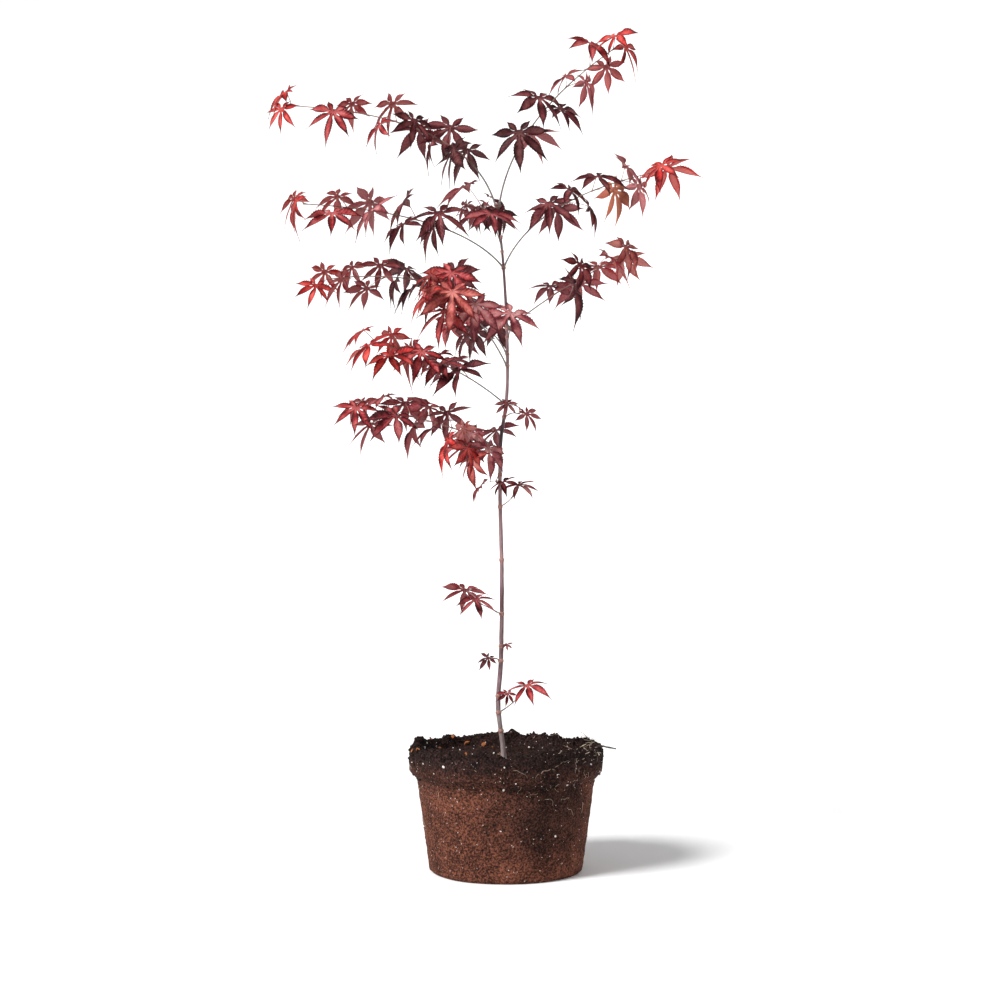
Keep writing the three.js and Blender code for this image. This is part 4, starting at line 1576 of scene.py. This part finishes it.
    def build_roots(self, rng: Rng) -> None:
        """Fine pale roots that wander over the side, hugging it, most of them near the moist rim.

        Args:
            rng: where the random numbers come from.
        """
        count, points = self.roots, self.root_points
        side = self.profile()[2:7]
        near = rng.uniform(size=count) < self.root_share
        angle = np.where(near, rng.normal(*self.root_place, count), rng.uniform(0, TURN, count))
        height = mix(*self.root_heights, rng.uniform(size=count) ** self.root_power)
        way = rng.uniform(-math.pi, math.pi, count)
        step = rng.uniform(*self.root_steps, count)[:, None]
        course = way[:, None] + np.cumsum(rng.normal(0, self.root_bend, (count, points)), axis=1)
        climbed = height[:, None] + np.cumsum(np.sin(course) * step, 1)
        z = np.clip(climbed, self.edge + 1, self.root_heights[1])
        around = angle[:, None] + np.cumsum(np.cos(course) * step, 1) / self.shoulder_radius
        radius = np.interp(z, side[:, 1], side[:, 0]) + self.waves(self.side_waves, around)
        thick = rng.uniform(*self.root_radii, count)[:, None] * np.linspace(1, self.root_tip, points)
        surface = tubes(polar(radius + self.root_proud, around, z), thick, self.root_sides)
        finish = MottledFinish("Fine root, pale", "b3a290", "7d6654", 3.0, 0.1, 0.7)
        make_piece("fine_roots", surface, finish)


@dataclass
class Studio:
    """A pale floor that curves up into a round wall, a soft sun, and the camera. Lengths are millimetres."""

    middle_radius: float = 300.0
    floor_radius: float = 3600.0
    curve_radius: float = 900.0
    curve_rows: int = 16
    wall_height: float = 2150.0
    sides: int = 96
    camera_place: Point = (-6.0, -2119.0, 403.3)
    lens: float = 70.0
    sensor: float = 36.0
    sight: float = 20000.0  # how far the camera sees
    paper: str = "f5f5f5"
    sky: str = "ffffff"
    sky_strength: float = 0.36
    key_from: Point = (-0.75, -0.6, 0.7)
    key_strength: float = 4.8
    key_width: float = 22.0  # degrees across

    def build(self) -> None:
        """Makes the floor, the lights and the camera."""
        self.add_floor()
        self.add_key()
        self.add_sky()
        self.add_camera()

    def add_floor(self) -> None:
        """Adds the floor: a flat disc, a quarter round and a wall, turned about the axis."""
        bend = np.linspace(-math.pi / 2, 0, self.curve_rows)
        curve = np.stack([self.floor_radius + self.curve_radius * np.cos(bend),
                          self.curve_radius * (1 + np.sin(bend))], 1)
        outline = np.concatenate([[[self.middle_radius, 0]], curve, [[curve[-1, 0], self.wall_height]]])
        spots = polar(outline[:, :1], circle(self.sides), outline[:, 1:]).reshape(-1, 3)
        faces = shell_faces(len(outline), self.sides)[: -self.sides, ::-1]
        surface = Surface(np.concatenate([spots, [[0, 0, 0]]]), faces)
        paper = Paint("Studio paper, matt", Base_Color=linear(self.paper), Roughness=0.95).material
        make_mesh("floor", surface, [paper])

    def add_key(self) -> None:
        """Adds the one lamp: a wide soft sun from the upper left of the camera."""
        light = bpy.data.lights.new("key", "SUN")
        light.energy = self.key_strength
        light.angle = math.radians(self.key_width)
        x, y, z = self.key_from
        tilt, turn = math.atan2(math.hypot(x, y), z), math.atan2(x, -y)
        add_object("key", light).rotation_euler = (tilt, 0, turn)

    def add_sky(self) -> None:
        """Adds the even light from all round, and shows colours as they are."""
        scene = bpy.context.scene
        scene.view_settings.view_transform = "Standard"
        scene.world = bpy.data.worlds.new("Sky")
        scene.world.use_nodes = True
        inputs = scene.world.node_tree.nodes["Background"].inputs
        inputs["Color"].default_value = linear(self.sky)
        inputs["Strength"].default_value = self.sky_strength

    def add_camera(self) -> None:
        """Adds the camera: level, and looking along +Y."""
        data = bpy.data.cameras.new("camera")
        data.lens = self.lens
        data.sensor_width = self.sensor
        data.clip_end = self.sight / METRE
        camera = add_object("camera", data)
        camera.location = np.array(self.camera_place) / METRE
        camera.rotation_euler = (math.pi / 2, 0, 0)
        bpy.context.scene.camera = camera


def main() -> None:
    """Builds the studio and the plant, sub-assembly by sub-assembly."""
    logging.basicConfig(level=logging.INFO, format="%(name)s %(message)s")
    for part in (Studio(), RootBall(), Wood(), Crown()):
        part.build()
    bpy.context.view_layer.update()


if __name__ == "__main__":
    main()
